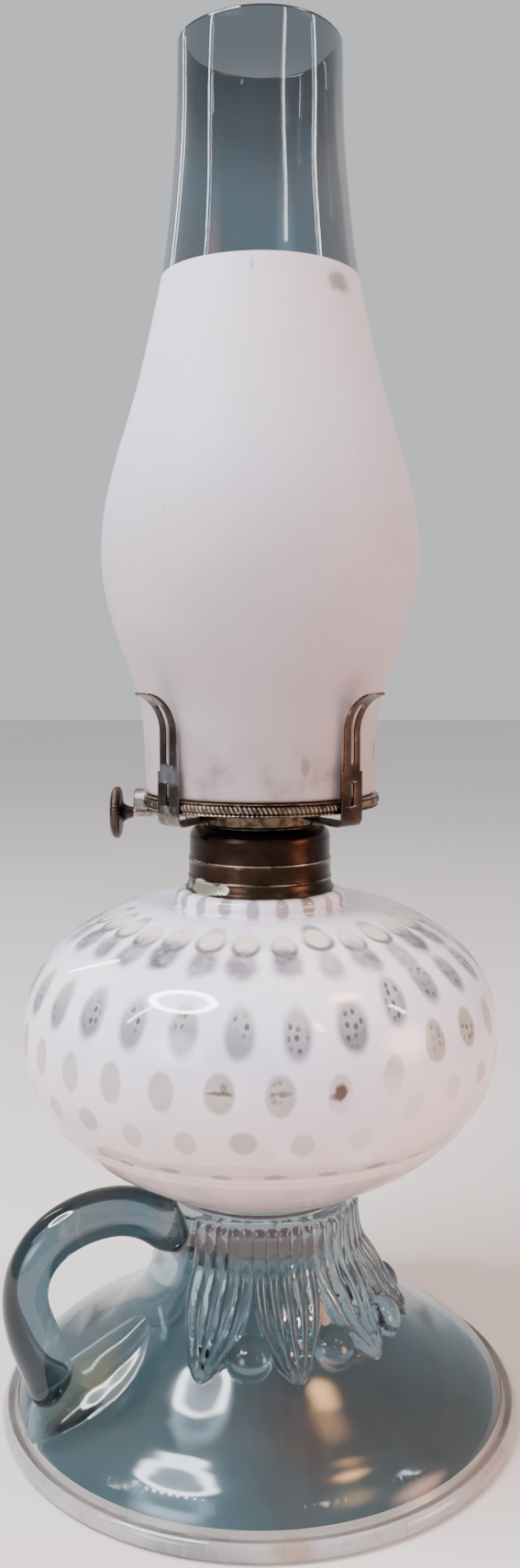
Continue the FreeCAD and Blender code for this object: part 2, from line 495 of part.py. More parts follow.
# thumbwheel: turned button with a flared hub, bored for nothing, butted on
knob = doc.addObject("PartDesign::Body", "thumbwheel_body")
knob_sk = closed_sketch(knob, "thumbwheel_outline", "XZ_Plane", [
    ("0", "0"), ("wheel_rad - 2.2", "0"), ("wheel_rad - 0.7", "0.35"), ("wheel_rad", "1.0"), ("wheel_rad", "2.0"), ("wheel_rad - 0.6", "wheel_in - wheel_out - 0.3"),
    ("wheel_rad - 2.6", "wheel_in - wheel_out + 0.1"), ("shaft_rad + 1.1", "wheel_in - wheel_out + 0.8"), ("shaft_rad + 0.5", "wheel_in - wheel_out + 2.2"),
    ("shaft_rad", "wheel_in - wheel_out + 3.4"), ("shaft_rad", "wheel_in - wheel_out"), ("0", "wheel_in - wheel_out")])
knob_rev = knob.newObject("PartDesign::Revolution", "thumbwheel_turn")
knob_rev.Profile = knob_sk
knob_rev.ReferenceAxis = (knob_sk, ["V_Axis"])
knob_rev.Angle = 360.0
knob.Tip = knob_rev
knob.Placement = FreeCAD.Placement(V(0, 0, 0), FreeCAD.Rotation(V(0, 1, 0), 90))
for prop, e in (("x", "wheel_out"), ("y", "shaft_y"), ("z", "shaft_z")):
    knob.setExpression(".Placement.Base." + prop, bound(e))
keep(knob, "thumbwheel")

# -------------------------------------------------------------- prongs ----
tk = D["prong_thick"]
ri, ro = D["prong_face"], D["prong_face"] + tk
zb = D["prong_bend_z"]
foot_z = 169.35


def arc_pts(cx, cz, rad, a0, a1, n):
    return [(cx + rad * math.cos(math.radians(a0 + (a1 - a0) * k / n)), cz + rad * math.sin(math.radians(a0 + (a1 - a0) * k / n))) for k in range(n + 1)]


# strap centre-line: root under the gallery, out, up, then a curl outwards
curl_r = 10.6
centre = [(D["prong_root"], 170.35), (22.5, 170.1), (29.0, 169.62)]
centre += arc_pts(ri + tk / 2 - 1.9, 171.3, 1.9, -82, 0, 6)
centre += [(ri + tk / 2, 178.0), (ri + tk / 2, 186.0)]
centre += arc_pts(ri + tk / 2 + curl_r, zb, curl_r, 180, 98, 9)
tail = centre[-1]


def ribbon(line_pts, half_t):
    left, right = [], []
    for i, (x, z) in enumerate(line_pts):
        a, b = line_pts[max(i - 1, 0)], line_pts[min(i + 1, len(line_pts) - 1)]
        dx, dz = b[0] - a[0], b[1] - a[1]
        ln = math.hypot(dx, dz)
        left.append(V(x - half_t * dz / ln, 0, z + half_t * dx / ln))
        right.append(V(x + half_t * dz / ln, 0, z - half_t * dx / ln))
    return left, right


def prong(label, turn_deg):
    left, right = ribbon(centre, tk / 2)
    loop_pts = left + right[::-1] + [left[0]]
    w = D["prong_wide"]
    strap = Part.Face(Part.makePolygon(loop_pts)).extrude(V(0, w, 0))
    strap.translate(V(0, -w / 2, 0))
    f = D["prong_finger"]
    zs = D["prong_step_z"]
    tools = []
    for sgn in (-1, 1):
        y0 = f / 2 if sgn > 0 else -w
        tools.append(Part.makeBox(30, w - f / 2, 40, V(ri - 3, y0, zs)))
    tools.append(Part.makeBox(12, 1.2, 6.4, V(ri - 3, -0.6, 174.5)))
    tools.append(Part.makeBox(12, 1.7, 16.4, V(ri - 3, -0.85, 185.2)))
    for sgn in (-1, 1):
        taper = Part.Face(Part.makePolygon([V(12, sgn * 2.2, 160), V(30.5, sgn * w / 2, 160), V(12, sgn * (w / 2 + 2), 160), V(12, sgn * 2.2, 160)]))
        tools.append(taper.extrude(V(0, 0, 12)))
    tools.append(Part.makeCylinder(D["rivet_rad"] + 0.35, 20, V(D["rivet_at"], 0, 160), V(0, 0, 1)))
    for t in tools:
        strap = strap.cut(t)
    strap = max(strap.Solids, key=lambda s: s.Volume)
    p = doc.addObject("Part::Feature", label + "_strap")
    p.Shape = strap
    p.Placement = FreeCAD.Placement(V(0, 0, 0), FreeCAD.Rotation(V(0, 0, 1), turn_deg))
    return keep(p, label)


TURNS = (("prong_front_right", -45), ("prong_rear_right", 45), ("prong_rear_left", 135), ("prong_front_left", 225))
for label, a in TURNS:
    prong(label, a)

# rivets: shank up to the dish, round head under each strap
rivets = []
dish_z = D["bowl_top_z"] + (D["rivet_at"] - D["bowl_rad"] - 0.7) / (D["gal_rad"] - 5.5 - D["bowl_rad"] - 0.7) * (D["gal_edge_z"] - 1.4 - D["bowl_top_z"])
for label, a in TURNS:
    shank = Part.makeCylinder(D["rivet_rad"], 3.2, V(D["rivet_at"], 0, 168.6), V(0, 0, 1))
    head = Part.makeCylinder(D["rivet_head"], 0.7, V(D["rivet_at"], 0, 168.75), V(0, 0, 1))
    r = shank.fuse(head)
    r.rotate(V(0, 0, 0), V(0, 0, 1), a)
    rivets.append(r)
dish_tool = dish.Shape
made = []
for r in rivets:
    r = r.cut(dish_tool)
    made.append(min(r.Solids, key=lambda s: s.CenterOfMass.z))
riv = doc.addObject("Part::Feature", "rivet_set")
riv.Shape = Part.makeCompound(made)
riv.Placement = FreeCAD.Placement(V(0, 0, 0), FreeCAD.Rotation(0, 0, 0))
keep(riv, "prong_rivets")

# ------------------------------------------------------- check and write --
doc.recompute()
for o in doc.Objects:
    if any(s in ("Invalid", "Error") for s in o.State):
        raise RuntimeError("%s is %s" % (o.Label, o.State))
os.makedirs("parts", exist_ok=True)
for o in NODES:
    s = o.Shape
    if s.isNull() or not s.isValid() or s.Volume <= 0:
        raise RuntimeError("%s has a bad shape" % o.Label)
for o in NODES:
    o.Shape.exportStep("parts/%s.step" % o.Label)
    bb = o.Shape.BoundBox
    print("%-18s solids %d vol %9.1f  x %7.2f %7.2f  y %7.2f %7.2f  z %7.2f %7.2f" % (
        o.Label, len(o.Shape.Solids), o.Shape.Volume, bb.XMin, bb.XMax, bb.YMin, bb.YMax, bb.ZMin, bb.ZMax))
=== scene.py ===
import bpy, bmesh, math, json
import numpy as np
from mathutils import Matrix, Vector


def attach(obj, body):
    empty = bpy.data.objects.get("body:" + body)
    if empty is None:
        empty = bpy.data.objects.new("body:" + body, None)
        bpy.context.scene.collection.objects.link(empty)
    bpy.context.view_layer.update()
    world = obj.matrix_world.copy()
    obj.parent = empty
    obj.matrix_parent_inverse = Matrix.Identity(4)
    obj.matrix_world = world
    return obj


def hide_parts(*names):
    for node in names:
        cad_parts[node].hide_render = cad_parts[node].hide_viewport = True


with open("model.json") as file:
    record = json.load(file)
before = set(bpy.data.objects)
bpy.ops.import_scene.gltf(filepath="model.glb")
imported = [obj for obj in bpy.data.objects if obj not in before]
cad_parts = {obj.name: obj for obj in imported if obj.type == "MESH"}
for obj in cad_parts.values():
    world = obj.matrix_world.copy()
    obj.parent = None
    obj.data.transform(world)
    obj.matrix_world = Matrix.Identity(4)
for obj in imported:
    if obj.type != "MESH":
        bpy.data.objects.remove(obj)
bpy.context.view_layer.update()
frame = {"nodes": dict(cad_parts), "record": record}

MM = 0.001
TAU = 2.0 * math.pi
rng = np.random.default_rng(7)

# ------------------------------------------------------------ camera ------
cam_data = bpy.data.cameras.new("view")
cam_data.sensor_fit = "AUTO"
cam_data.sensor_width = 36.0
cam_data.lens = 1408.0 / 1710.0 * 36.0
cam_data.shift_y = 0.0029
cam_data.clip_start = 0.01
cam = bpy.data.objects.new("view", cam_data)
cam.location = (0.0, -0.358, 0.2128)
cam.rotation_euler = (math.pi / 2 - 0.1, 0.0, 0.0)
bpy.context.scene.collection.objects.link(cam)
bpy.context.scene.camera = cam


# ------------------------------------------------------- node helpers -----
class Sock:
    """A number or colour in a material, with arithmetic."""

    def __init__(self, tree, s):
        self.t, self.s = tree, s

    def _m(self, op, other=None, third=None, swap=False, clamp=False):
        n = self.t.nodes.new("ShaderNodeMath")
        n.operation = op
        n.use_clamp = clamp
        a, b = (other, self) if swap else (self, other)
        for i, v in enumerate((a, b, third)):
            if v is None:
                continue
            if isinstance(v, Sock):
                self.t.links.new(v.s, n.inputs[i])
            else:
                n.inputs[i].default_value = float(v)
        return Sock(self.t, n.outputs[0])

    def __add__(self, o): return self._m("ADD", o)
    def __radd__(self, o): return self._m("ADD", o)
    def __sub__(self, o): return self._m("SUBTRACT", o)
    def __rsub__(self, o): return self._m("SUBTRACT", o, swap=True)
    def __mul__(self, o): return self._m("MULTIPLY", o)
    def __rmul__(self, o): return self._m("MULTIPLY", o)
    def __truediv__(self, o): return self._m("DIVIDE", o)
    def abs(self): return self._m("ABSOLUTE")
    def pw(self, o): return self._m("POWER", o)
    def sqrt(self): return self._m("SQRT")
    def floor(self): return self._m("FLOOR")
    def frac(self): return self._m("FRACT")
    def sin(self): return self._m("SINE")
    def mn(self, o): return self._m("MINIMUM", o)
    def mx(self, o): return self._m("MAXIMUM", o)

    def ramp(self, lo, hi, a=0.0, b=1.0, smooth=True):
        n = self.t.nodes.new("ShaderNodeMapRange")
        n.interpolation_type = "SMOOTHSTEP" if smooth else "LINEAR"
        self.t.links.new(self.s, n.inputs[0])
        for i, v in ((1, lo), (2, hi), (3, a), (4, b)):
            n.inputs[i].default_value = v
        return Sock(self.t, n.outputs[0])


class Mat:
    def __init__(self, name):
        self.m = bpy.data.materials.new(name)
        self.m.use_nodes = True
        self.t = self.m.node_tree
        self.t.nodes.clear()
        self.out = self.t.nodes.new("ShaderNodeOutputMaterial")
        self.bsdf = self.t.nodes.new("ShaderNodeBsdfPrincipled")
        self.t.links.new(self.bsdf.outputs[0], self.out.inputs[0])
        self.co = self.t.nodes.new("ShaderNodeTexCoord")
        self.xyz = None

    def obj(self):
        return self.co.outputs["Object"]

    def xyz_mm(self):
        if self.xyz is None:
            n = self.t.nodes.new("ShaderNodeSeparateXYZ")
            self.t.links.new(self.obj(), n.inputs[0])
            self.xyz = tuple(Sock(self.t, n.outputs[i]) * 1000.0 for i in range(3))
        return self.xyz

    def mapping(self, scale=(1, 1, 1), src=None, rot=(0, 0, 0)):
        n = self.t.nodes.new("ShaderNodeMapping")
        n.inputs["Scale"].default_value = scale
        n.inputs["Rotation"].default_value = rot
        self.t.links.new(src or self.obj(), n.inputs["Vector"])
        return n.outputs[0]

    def noise(self, scale, detail=3.0, rough=0.5, vec=None, distort=0.0):
        n = self.t.nodes.new("ShaderNodeTexNoise")
        n.inputs["Scale"].default_value = scale
        n.inputs["Detail"].default_value = detail
        n.inputs["Roughness"].default_value = rough
        n.inputs["Distortion"].default_value = distort
        self.t.links.new(vec or self.obj(), n.inputs["Vector"])
        return Sock(self.t, n.outputs[0])

    def voronoi(self, scale, vec=None, feature="F1", rand=1.0):
        n = self.t.nodes.new("ShaderNodeTexVoronoi")
        n.feature = feature
        n.inputs["Scale"].default_value = scale
        n.inputs["Randomness"].default_value = rand
        self.t.links.new(vec or self.obj(), n.inputs["Vector"])
        return Sock(self.t, n.outputs["Distance"])

    def white(self, w):
        n = self.t.nodes.new("ShaderNodeTexWhiteNoise")
        n.noise_dimensions = "1D"
        self.t.links.new(w.s, n.inputs["W"])
        return Sock(self.t, n.outputs["Value"])

    def mix(self, fac, a, b):
        n = self.t.nodes.new("ShaderNodeMix")
        n.data_type = "RGBA"
        n.clamp_factor = True
        if isinstance(fac, Sock):
            self.t.links.new(fac.s, n.inputs[0])
        else:
            n.inputs[0].default_value = fac
        for i, v in ((6, a), (7, b)):
            if isinstance(v, Sock):
                self.t.links.new(v.s, n.inputs[i])
            else:
                n.inputs[i].default_value = (*v, 1.0)
        return Sock(self.t, n.outputs[2])

    def set(self, name, v):
        s = self.bsdf.inputs[name]
        if isinstance(v, Sock):
            self.t.links.new(v.s, s)
        elif isinstance(v, tuple):
            s.default_value = (*v, 1.0) if len(s.default_value) == 4 else v
        else:
            s.default_value = v

    def bump(self, height, dist_mm, strength=1.0):
        n = self.t.nodes.new("ShaderNodeBump")
        n.inputs["Strength"].default_value = strength
        n.inputs["Distance"].default_value = dist_mm * MM
        self.t.links.new(height.s, n.inputs["Height"])
        self.t.links.new(n.outputs[0], self.bsdf.inputs["Normal"])

    def edge(self, lo=0.5, hi=0.6):
        n = self.t.nodes.new("ShaderNodeNewGeometry")
        return Sock(self.t, n.outputs["Pointiness"]).ramp(lo, hi)

    def uv(self):
        n = self.t.nodes.new("ShaderNodeSeparateXYZ")
        self.t.links.new(self.co.outputs["UV"], n.inputs[0])
        return Sock(self.t, n.outputs[0]), Sock(self.t, n.outputs[1])


# ----------------------------------------------------------- materials ----
def tinted_glass(name, ior=1.47, ripple=0.10, kind="plain"):
    """Clear pressed or blown glass with a grey-teal cast and drifting warmer clouds."""
    m = Mat(name)
    x, y, z = m.xyz_mm()
    m.set("Transmission Weight", 1.0)
    m.set("IOR", ior)
    cloud = m.noise(13.0, 3.0, 0.5)
    if kind == "chimney":
        teal, grey, brown = (0.36, 0.46, 0.515), (0.44, 0.44, 0.46), (0.42, 0.31, 0.25)
        col = m.mix(cloud.ramp(0.40, 0.62), teal, grey)
        col = m.mix(m.noise(30.0, 3.0, 0.55, vec=m.mapping((1.0, 1.0, 0.25))).ramp(0.50, 0.66) * 0.75, col, brown)
        streak = m.noise(150.0, 3.0, 0.6, vec=m.mapping((1.0, 1.0, 0.06)))
        col = m.mix(streak.ramp(0.52, 0.75) * 0.5, col, (0.45, 0.33, 0.26))
        col = m.mix(z.ramp(340.0, 366.0) * 0.80, col, (0.115, 0.155, 0.175))
    elif kind == "handle":
        teal, grey = (0.074, 0.140, 0.172), (0.108, 0.142, 0.150)
        col = m.mix(m.noise(36.0, 4.0, 0.6, distort=1.2).ramp(0.40, 0.64), teal, grey)
        swirl = m.noise(60.0, 3.0, 0.55, distort=2.2)
        col = m.mix(swirl.ramp(0.55, 0.70) * 0.45, col, (0.09, 0.12, 0.14))
        col = m.mix(swirl.ramp(0.42, 0.28) * 0.35, col, (0.40, 0.43, 0.43))
        warm = m.noise(30.0, 3.0, 0.6).ramp(0.58, 0.72)
        col = m.mix(warm * 0.5, col, (0.42, 0.30, 0.23))
    else:
        teal, grey = (0.285, 0.405, 0.455), (0.325, 0.295, 0.27)
        rad = (x * x + y * y).sqrt()
        col = m.mix(cloud.ramp(0.50, 0.74), teal, grey)
        # smoky veils drifting through the metal of the glass
        veil = m.noise(34.0, 4.0, 0.6, distort=0.8)
        col = m.mix(veil.ramp(0.54, 0.72) * 0.40, col, (0.24, 0.25, 0.24))
        # thicker, clearer stem
        col = m.mix(z.ramp(36.0, 60.0) * 0.55, col, (0.50, 0.53, 0.52))
        # puddle of glass under the handle, faintly amber
        pu = (((x + 50.0) * 0.891 + (y + 27.5) * 0.454) / 13.5)
        pv = (((x + 50.0) * -0.454 + (y + 27.5) * 0.891) / 9.5)
        pd = (pu * pu + pv * pv).sqrt() + (cloud - 0.5) * 0.8
        col = m.mix(pd.ramp(1.05, 0.75) * z.ramp(12.0, 14.0) * 0.75, col, (0.62, 0.52, 0.27))
    m.set("Base Color", col)
    film = m.noise(55.0, 5.0, 0.6)
    rough = film.ramp(0.50, 0.80, 0.0, 0.06)
    if kind == "foot":
        # the resting edge is scuffed by use
        scuff = m.noise(260.0, 4.0, 0.7).ramp(0.40, 0.62) * z.ramp(3.4, 0.6) * rad.ramp(68.5, 71.5)
        rough = rough + scuff * 0.30
    if kind == "foot":
        rough = rough * 0.4 + m.noise(90.0, 4.0, 0.6).ramp(0.30, 0.70, 0.03, 0.06) + z.ramp(34.0, 24.0) * 0.05
    m.set("Roughness", rough)
    wave = m.noise(60.0, 2.0, 0.4) * 0.9 + m.noise(420.0, 2.0, 0.5) * 0.05
    if kind == "foot":
        # faint beads pressed in a ring just inside the rim
        az = m.t.nodes.new("ShaderNodeMath")
        az.operation = "ARCTAN2"
        m.t.links.new(x.s, az.inputs[0])
        m.t.links.new(y.s, az.inputs[1])
        bead = (Sock(m.t, az.outputs[0]) * 190.0).sin().ramp(0.0, 0.9) * (1.0 - ((rad - 66.6).abs() / 0.9)).ramp(0.0, 0.6)
        wave = wave + bead * 0.22
    if kind == "chimney":
        wave = wave * 0.5 + m.noise(95.0, 2.0, 0.4, vec=m.mapping((1.0, 1.0, 0.12))) * 0.8
    m.bump(wave, ripple * 4.0, {"foot": 0.20, "handle": 0.30}.get(kind, 0.12))
    return m.m


def rim_glass(name):
    """Rounded edge of the foot: the glass is milky, with lavender, tan and brown patches scattered by noise that are
    painted reflections of the lamps.
    """
    m = Mat(name)
    x, y, z = m.xyz_mm()
    rad = (x * x + y * y).sqrt()
    cloud = m.noise(26.0, 4.0, 0.6)
    drift = m.noise(15.0, 3.0, 0.55)
    # painted reflections: lavender, tan and brown patches scattered by noise
    pale, lav, brown, tan = (0.42, 0.44, 0.43), (0.80, 0.74, 0.75), (0.36, 0.22, 0.15), (0.66, 0.42, 0.27)
    col = m.mix(drift.ramp(0.36, 0.50), pale, lav)
    col = m.mix(cloud.ramp(0.50, 0.66) * 0.8, col, tan)
    col = m.mix(drift.ramp(0.56, 0.68) * 0.7, col, brown)
    # painted glints: pale ticks stretched upright, then darker ticks
    glint_ticks = m.noise(420.0, 3.0, 0.6, vec=m.mapping((1.0, 1.0, 0.25)))
    col = m.mix(glint_ticks.ramp(0.52, 0.70) * 0.40, col, (0.84, 0.72, 0.63))
    col = m.mix(m.noise(300.0, 3.0, 0.6, vec=m.mapping((1.0, 1.0, 0.25))).ramp(0.56, 0.72) * 0.35, col, (0.30, 0.20, 0.15))
    # painted shade: the hollow just inside the bead is darkened; painted highlight: a pale line along the thin inner
    # arris
    hollow_shade = (1.0 - ((rad - 71.2) / 1.25).abs()).ramp(0.0, 0.45) * z.ramp(2.4, 3.6)
    hollow_shade_col = m.mix(cloud.ramp(0.4, 0.62), (0.14, 0.10, 0.08), (0.27, 0.24, 0.22))
    col = m.mix(hollow_shade * 0.92, col, hollow_shade_col)
    lip = (1.0 - ((rad - 69.7) / 0.42).abs()).ramp(0.0, 0.6) * z.ramp(2.8, 4.0)
    col = m.mix(lip * 0.9, col, (0.66, 0.58, 0.50))
    m.set("Base Color", col)
    m.set("Transmission Weight", 0.58)
    m.set("IOR", 1.47)
    m.set("Roughness", m.noise(120.0, 4.0, 0.6).ramp(0.35, 0.7, 0.05, 0.14))
    m.set("Coat Weight", 0.4)
    m.set("Coat Roughness", 0.04)
    m.bump(m.noise(300.0, 3.0, 0.5, vec=m.mapping((1.0, 1.0, 0.4))) + m.noise(70.0, 2.0, 0.4), 0.35, 0.25)
    return m.m


def brass(name, dark=(0.035, 0.018, 0.010), mid=(0.115, 0.062, 0.034), bright=(0.52, 0.36, 0.20), rough=(0.26, 0.52), wear=0.5, grain=(1, 1, 1), scratch=1.0, edge_at=(0.515, 0.60), speck_amount=0.30):
    m = Mat(name)
    blotch = m.noise(60.0, 5.0, 0.62)
    fine = m.noise(420.0, 4.0, 0.6)
    body = m.mix(blotch.ramp(0.36, 0.66), dark, mid)
    speck = (fine * 0.55 + blotch * 0.45).ramp(0.55, 0.72)
    body = m.mix(speck * speck_amount, body, bright)
    edge = m.edge(*edge_at) * (fine.ramp(0.30, 0.62)) * wear
    body = m.mix(edge, body, bright)
    m.set("Base Color", body)
    m.set("Metallic", 1.0)
    m.set("Roughness", blotch.ramp(0.3, 0.7, rough[0], rough[1]))
    lines = m.noise(300.0, 3.0, 0.5, vec=m.mapping(grain)) * 0.6 + fine * 0.5
    m.bump(lines, 0.12 * scratch, 0.28)
    return m


def frosted(name):
    """Acid-etched glass: pale, softly translucent, with rubbed and sooty places, and painted shade that darkens its
    lower part.
    """
    m = Mat(name)
    x, y, z = m.xyz_mm()
    cloud = m.noise(16.0, 4.0, 0.55)
    grain = m.noise(1400.0, 2.0, 0.5)
    streak = m.noise(90.0, 3.0, 0.6, vec=m.mapping((1.0, 1.0, 0.10)))
    base = m.mix(cloud.ramp(0.35, 0.68), (0.74, 0.72, 0.86), (0.83, 0.73, 0.80))
    # painted shade: duskier and pinker towards the lower flare, where the surface turns down
    base = m.mix(z.ramp(300.0, 215.0) * (cloud.ramp(0.2, 0.7, 0.60, 1.0)) * 0.80, base, (0.53, 0.415, 0.43))
    base = m.mix(streak.ramp(0.56, 0.80) * 0.26, base, (0.50, 0.46, 0.475))
    cloud2 = m.noise(42.0, 5.0, 0.62)
    base = m.mix(cloud2.ramp(0.52, 0.75) * 0.20, base, (0.80, 0.78, 0.80))
    # soot just above the gallery is the patchy mask low; besides it the glass is made darker and browner towards the
    # bottom from z 228 down
    low = z.ramp(197.0, 178.0) * m.noise(48.0, 5.0, 0.65).ramp(0.44, 0.70)
    base = m.mix(z.ramp(228.0, 180.0) * 0.60, base, (0.44, 0.325, 0.295))
    base = m.mix(low * 0.85, base, (0.17, 0.13, 0.115))
    # rubbed dark marks: one near the etched line, two near the foot
    def mark(cx, cy, cz, rx, rz, amount, col=(0.20, 0.165, 0.155)):
        d = (((x - cx) / rx).pw(2.0) + ((y - cy) / rx).pw(2.0) + ((z - cz) / rz).pw(2.0)).sqrt()
        d = d + (m.noise(230.0, 4.0, 0.7) - 0.5) * 1.5
        return lambda b: m.mix(d.ramp(1.15, 0.35) * amount, b, col)
    for args in ((19.5, -18.6, 308.0, 5.0, 3.4, 0.75), (11.5, -29.6, 185.5, 1.5, 3.0, 0.70), (31.0, -8.0, 187.5, 1.5, 4.5, 0.75),
                 (-2.0, -27.0, 309.0, 0.8, 3.2, 0.55), (-7.0, -42.0, 262.0, 0.7, 1.2, 0.5), (-24.0, -36.0, 250.0, 0.9, 2.2, 0.35)):
        base = mark(*args)(base)
    m.set("Base Color", base)
    m.set("Roughness", cloud.ramp(0.3, 0.7, 0.42, 0.56))
    m.set("Transmission Weight", 0.22)
    m.set("IOR", 1.45)
    m.set("Subsurface Weight", 0.35)
    m.set("Subsurface Radius", (1.0, 0.85, 0.8))
    m.set("Subsurface Scale", 0.004)
    m.bump(grain * 0.7 + m.noise(500.0, 3.0) * 0.5, 0.03, 0.35)
    return m.m


def opal(name):
    """Opalescent glass: milky ground with clearer oval spots in staggered rows."""
    m = Mat(name)
    u, v = m.uv()
    az = u * 360.0
    az = az - (az - 180.0).ramp(-0.01, 0.01, 0.0, 360.0, smooth=False)
    zz = v * 200.0
    # the pattern swirls a little upward on one side
    lift = az.ramp(20.0, 42.0) * 8.0 * az.ramp(175.0, 110.0)
    zs = zz - lift * zz.ramp(84.0, 104.0) * zz.ramp(142.0, 132.0)
    wob = m.noise(95.0, 3.0, 0.5) - 0.5
    cloud = m.noise(22.0, 4.0, 0.55)
    fine = m.noise(240.0, 4.0, 0.65)
    milky = m.mix(cloud.ramp(0.34, 0.68), (0.78, 0.75, 0.94), (0.95, 0.83, 0.90))
    # painted shade: darker and pinker towards the lower belly, which faces down
    milky = m.mix(zz.ramp(130.0, 84.0) * 0.75, milky, (0.74, 0.49, 0.43))
    vein = m.noise(60.0, 2.0, 0.5, vec=m.mapping((1.0, 1.0, 0.5)))
    milky = m.mix(vein.ramp(0.54, 0.74) * 0.28, milky, (0.52, 0.50, 0.58))
    puff = m.noise(75.0, 3.0, 0.55, vec=m.mapping((1.0, 1.0, 0.8)))
    milky = m.mix(puff.ramp(0.55, 0.75) * 0.35, milky, (0.92, 0.90, 0.94))
    # a thicker veil of milk drifts over the spots on one side
    veil_d = (((az - 31.0) / 24.0).pw(2.0) + ((zz - 102.0) / 15.0).pw(2.0)).sqrt() + (cloud - 0.5) * 1.6
    keep = veil_d.ramp(0.45, 1.15, 0.30, 1.0)
    pitch = 360.0 / 29.0

    def dots(scale, lo, hi):
        n = m.t.nodes.new("ShaderNodeCombineXYZ")
        m.t.links.new((az / scale).s, n.inputs[0])
        m.t.links.new((zs / (scale * 1.25)).s, n.inputs[1])
        w = m.t.nodes.new("ShaderNodeTexVoronoi")
        w.voronoi_dimensions = "2D"
        w.inputs["Scale"].default_value = 1.0
        w.inputs["Randomness"].default_value = 0.55
        m.t.links.new(n.outputs[0], w.inputs["Vector"])
        return Sock(m.t, w.outputs["Distance"]).ramp(hi, lo)

    def row(z0, hz, half_deg, off, soft, keyn, wobble=0.35, src=None, per=1):
        k = (az - off) / (pitch / per) + 60.5
        cell = k.floor()
        rnd = m.white(cell + keyn * 37.3)
        dx = (k.frac() - 0.5) * (pitch / per) / (half_deg * (rnd * 0.26 + 0.87))
        dz = ((src or zs) - z0 - (rnd - 0.5) * 1.2) / hz
        d = ((dx * dx) + (dz * dz)).sqrt() + wob * wobble
        return d.ramp(1.0 + soft, 1.0 - soft), d, rnd, dz

    base = milky
    # short upright stripes on the neck ring
    s, _, rnd, _ = row(147.0, 2.9, 4.4, -4.5, 0.26, 1.0, 0.5, src=zz, per=19.0 / 29.0)
    ox, oy, _ = m.xyz_mm()
    on_ring = (ox * ox + oy * oy).sqrt().ramp(24.7, 24.2)
    base = m.mix(s * (rnd * 0.35 + 0.65) * on_ring, base, (0.30, 0.235, 0.20))
    # painted light in the clear spots where the shoulder faces up: cream ovals of refracted light, each with a painted
    # shadow along its dark lower lip
    s, d, rnd, dz = row(142.35, 1.85, 4.8, -4.5, 0.14, 2.0, 0.28, src=zz)
    base = m.mix(s * 0.88, base, m.mix(fine, (0.66, 0.57, 0.49), (0.80, 0.72, 0.64)))
    line = ((d - 0.98).abs()).ramp(0.34, 0.05) * (dz.ramp(0.6, -0.8) * 0.80 + dz.ramp(0.3, 1.0) * rnd.ramp(0.35, 0.7) * 0.6 + 0.08)
    base = m.mix(line, base, (0.085, 0.075, 0.078))
    # painted shadow: dark smoky patches just below them
    s, d, rnd, dz = row(138.6, 2.7, 4.4, -4.6, 0.40, 2.5, 1.3, src=zz)
    spot_shadow_col = m.mix((m.noise(150.0, 4.0, 0.65)).ramp(0.36, 0.66), (0.050, 0.048, 0.054), (0.30, 0.285, 0.31))
    base = m.mix(s * (rnd * 0.30 + 0.66), base, spot_shadow_col)
    # tall grey spots on the upper belly, with small dark seeds inside
    seeds = dots(1.9, 0.20, 0.40) * m.noise(120.0, 2.0).ramp(0.42, 0.55)
    s, d, rnd, dz = row(125.4, 5.9, 3.45, -4.3, 0.26, 3.0)
    shade = m.mix((dz * 0.6 + fine).ramp(0.1, 1.0), (0.17, 0.162, 0.172), (0.38, 0.355, 0.345))
    base = m.mix(s * (rnd * 0.20 + 0.76) * keep, base, shade)
    base = m.mix(seeds * d.ramp(0.86, 0.55) * 0.85, base, (0.055, 0.05, 0.06))
    # ovals on the lower belly
    s, d, rnd, dz = row(111.4, 5.0, 3.0, -8.3, 0.15, 4.0)
    base = m.mix(s * (rnd * 0.25 + 0.70) * keep, base, m.mix(fine, (0.27, 0.235, 0.21), (0.50, 0.435, 0.37)))
    base = m.mix(seeds * d.ramp(0.9, 0.6) * rnd.ramp(0.2, 0.8) * 0.8, base, (0.09, 0.06, 0.05))
    # three of them carry rusty stains
    for a0, z0, ra, rz, amount in ((-8.4, 112.0, 3.4, 0.9, 0.85), (-7.4, 113.2, 1.0, 1.6, 0.6), (4.2, 112.0, 2.6, 0.8, 0.55), (16.6, 111.6, 1.8, 2.6, 1.0), (15.2, 110.8, 1.2, 1.0, 0.7)):
        dd = (((az - a0) / ra).pw(2.0) + ((zs - z0) / rz).pw(2.0)).sqrt() + (fine - 0.5) * 1.5
        base = m.mix(dd.ramp(1.05, 0.55) * amount, base, (0.085, 0.040, 0.028))
    s, d, rnd, dz = row(99.2, 3.1, 2.7, -3.4, 0.15, 5.0)
    base = m.mix(s * (rnd * 0.3 + 0.55) * keep, base, (0.38, 0.32, 0.27))
    s, d, rnd, dz = row(89.0, 0.9, 2.5, -9.0, 0.2, 6.0, src=zz)
    base = m.mix(s * 0.7, base, (0.28, 0.26, 0.26))
    s, d, rnd, dz = row(81.8, 2.3, 2.8, -3.4, 0.2, 7.0, src=zz)
    base = m.mix(s * 0.34 * rnd.ramp(0.1, 0.6), base, (0.50, 0.44, 0.40))
    m.set("Base Color", base)
    m.set("Roughness", m.noise(45.0, 4.0, 0.6).ramp(0.45, 0.8, 0.04, 0.12))
    m.set("IOR", 1.5)
    m.set("Subsurface Weight", 0.25)
    m.set("Subsurface Radius", (1.0, 0.85, 0.8))
    m.set("Subsurface Scale", 0.004)
    m.set("Coat Weight", 0.5)
    m.set("Coat Roughness", 0.02)
    m.bump(m.noise(48.0, 2.0, 0.4), 0.6, 0.08)
    return m.m


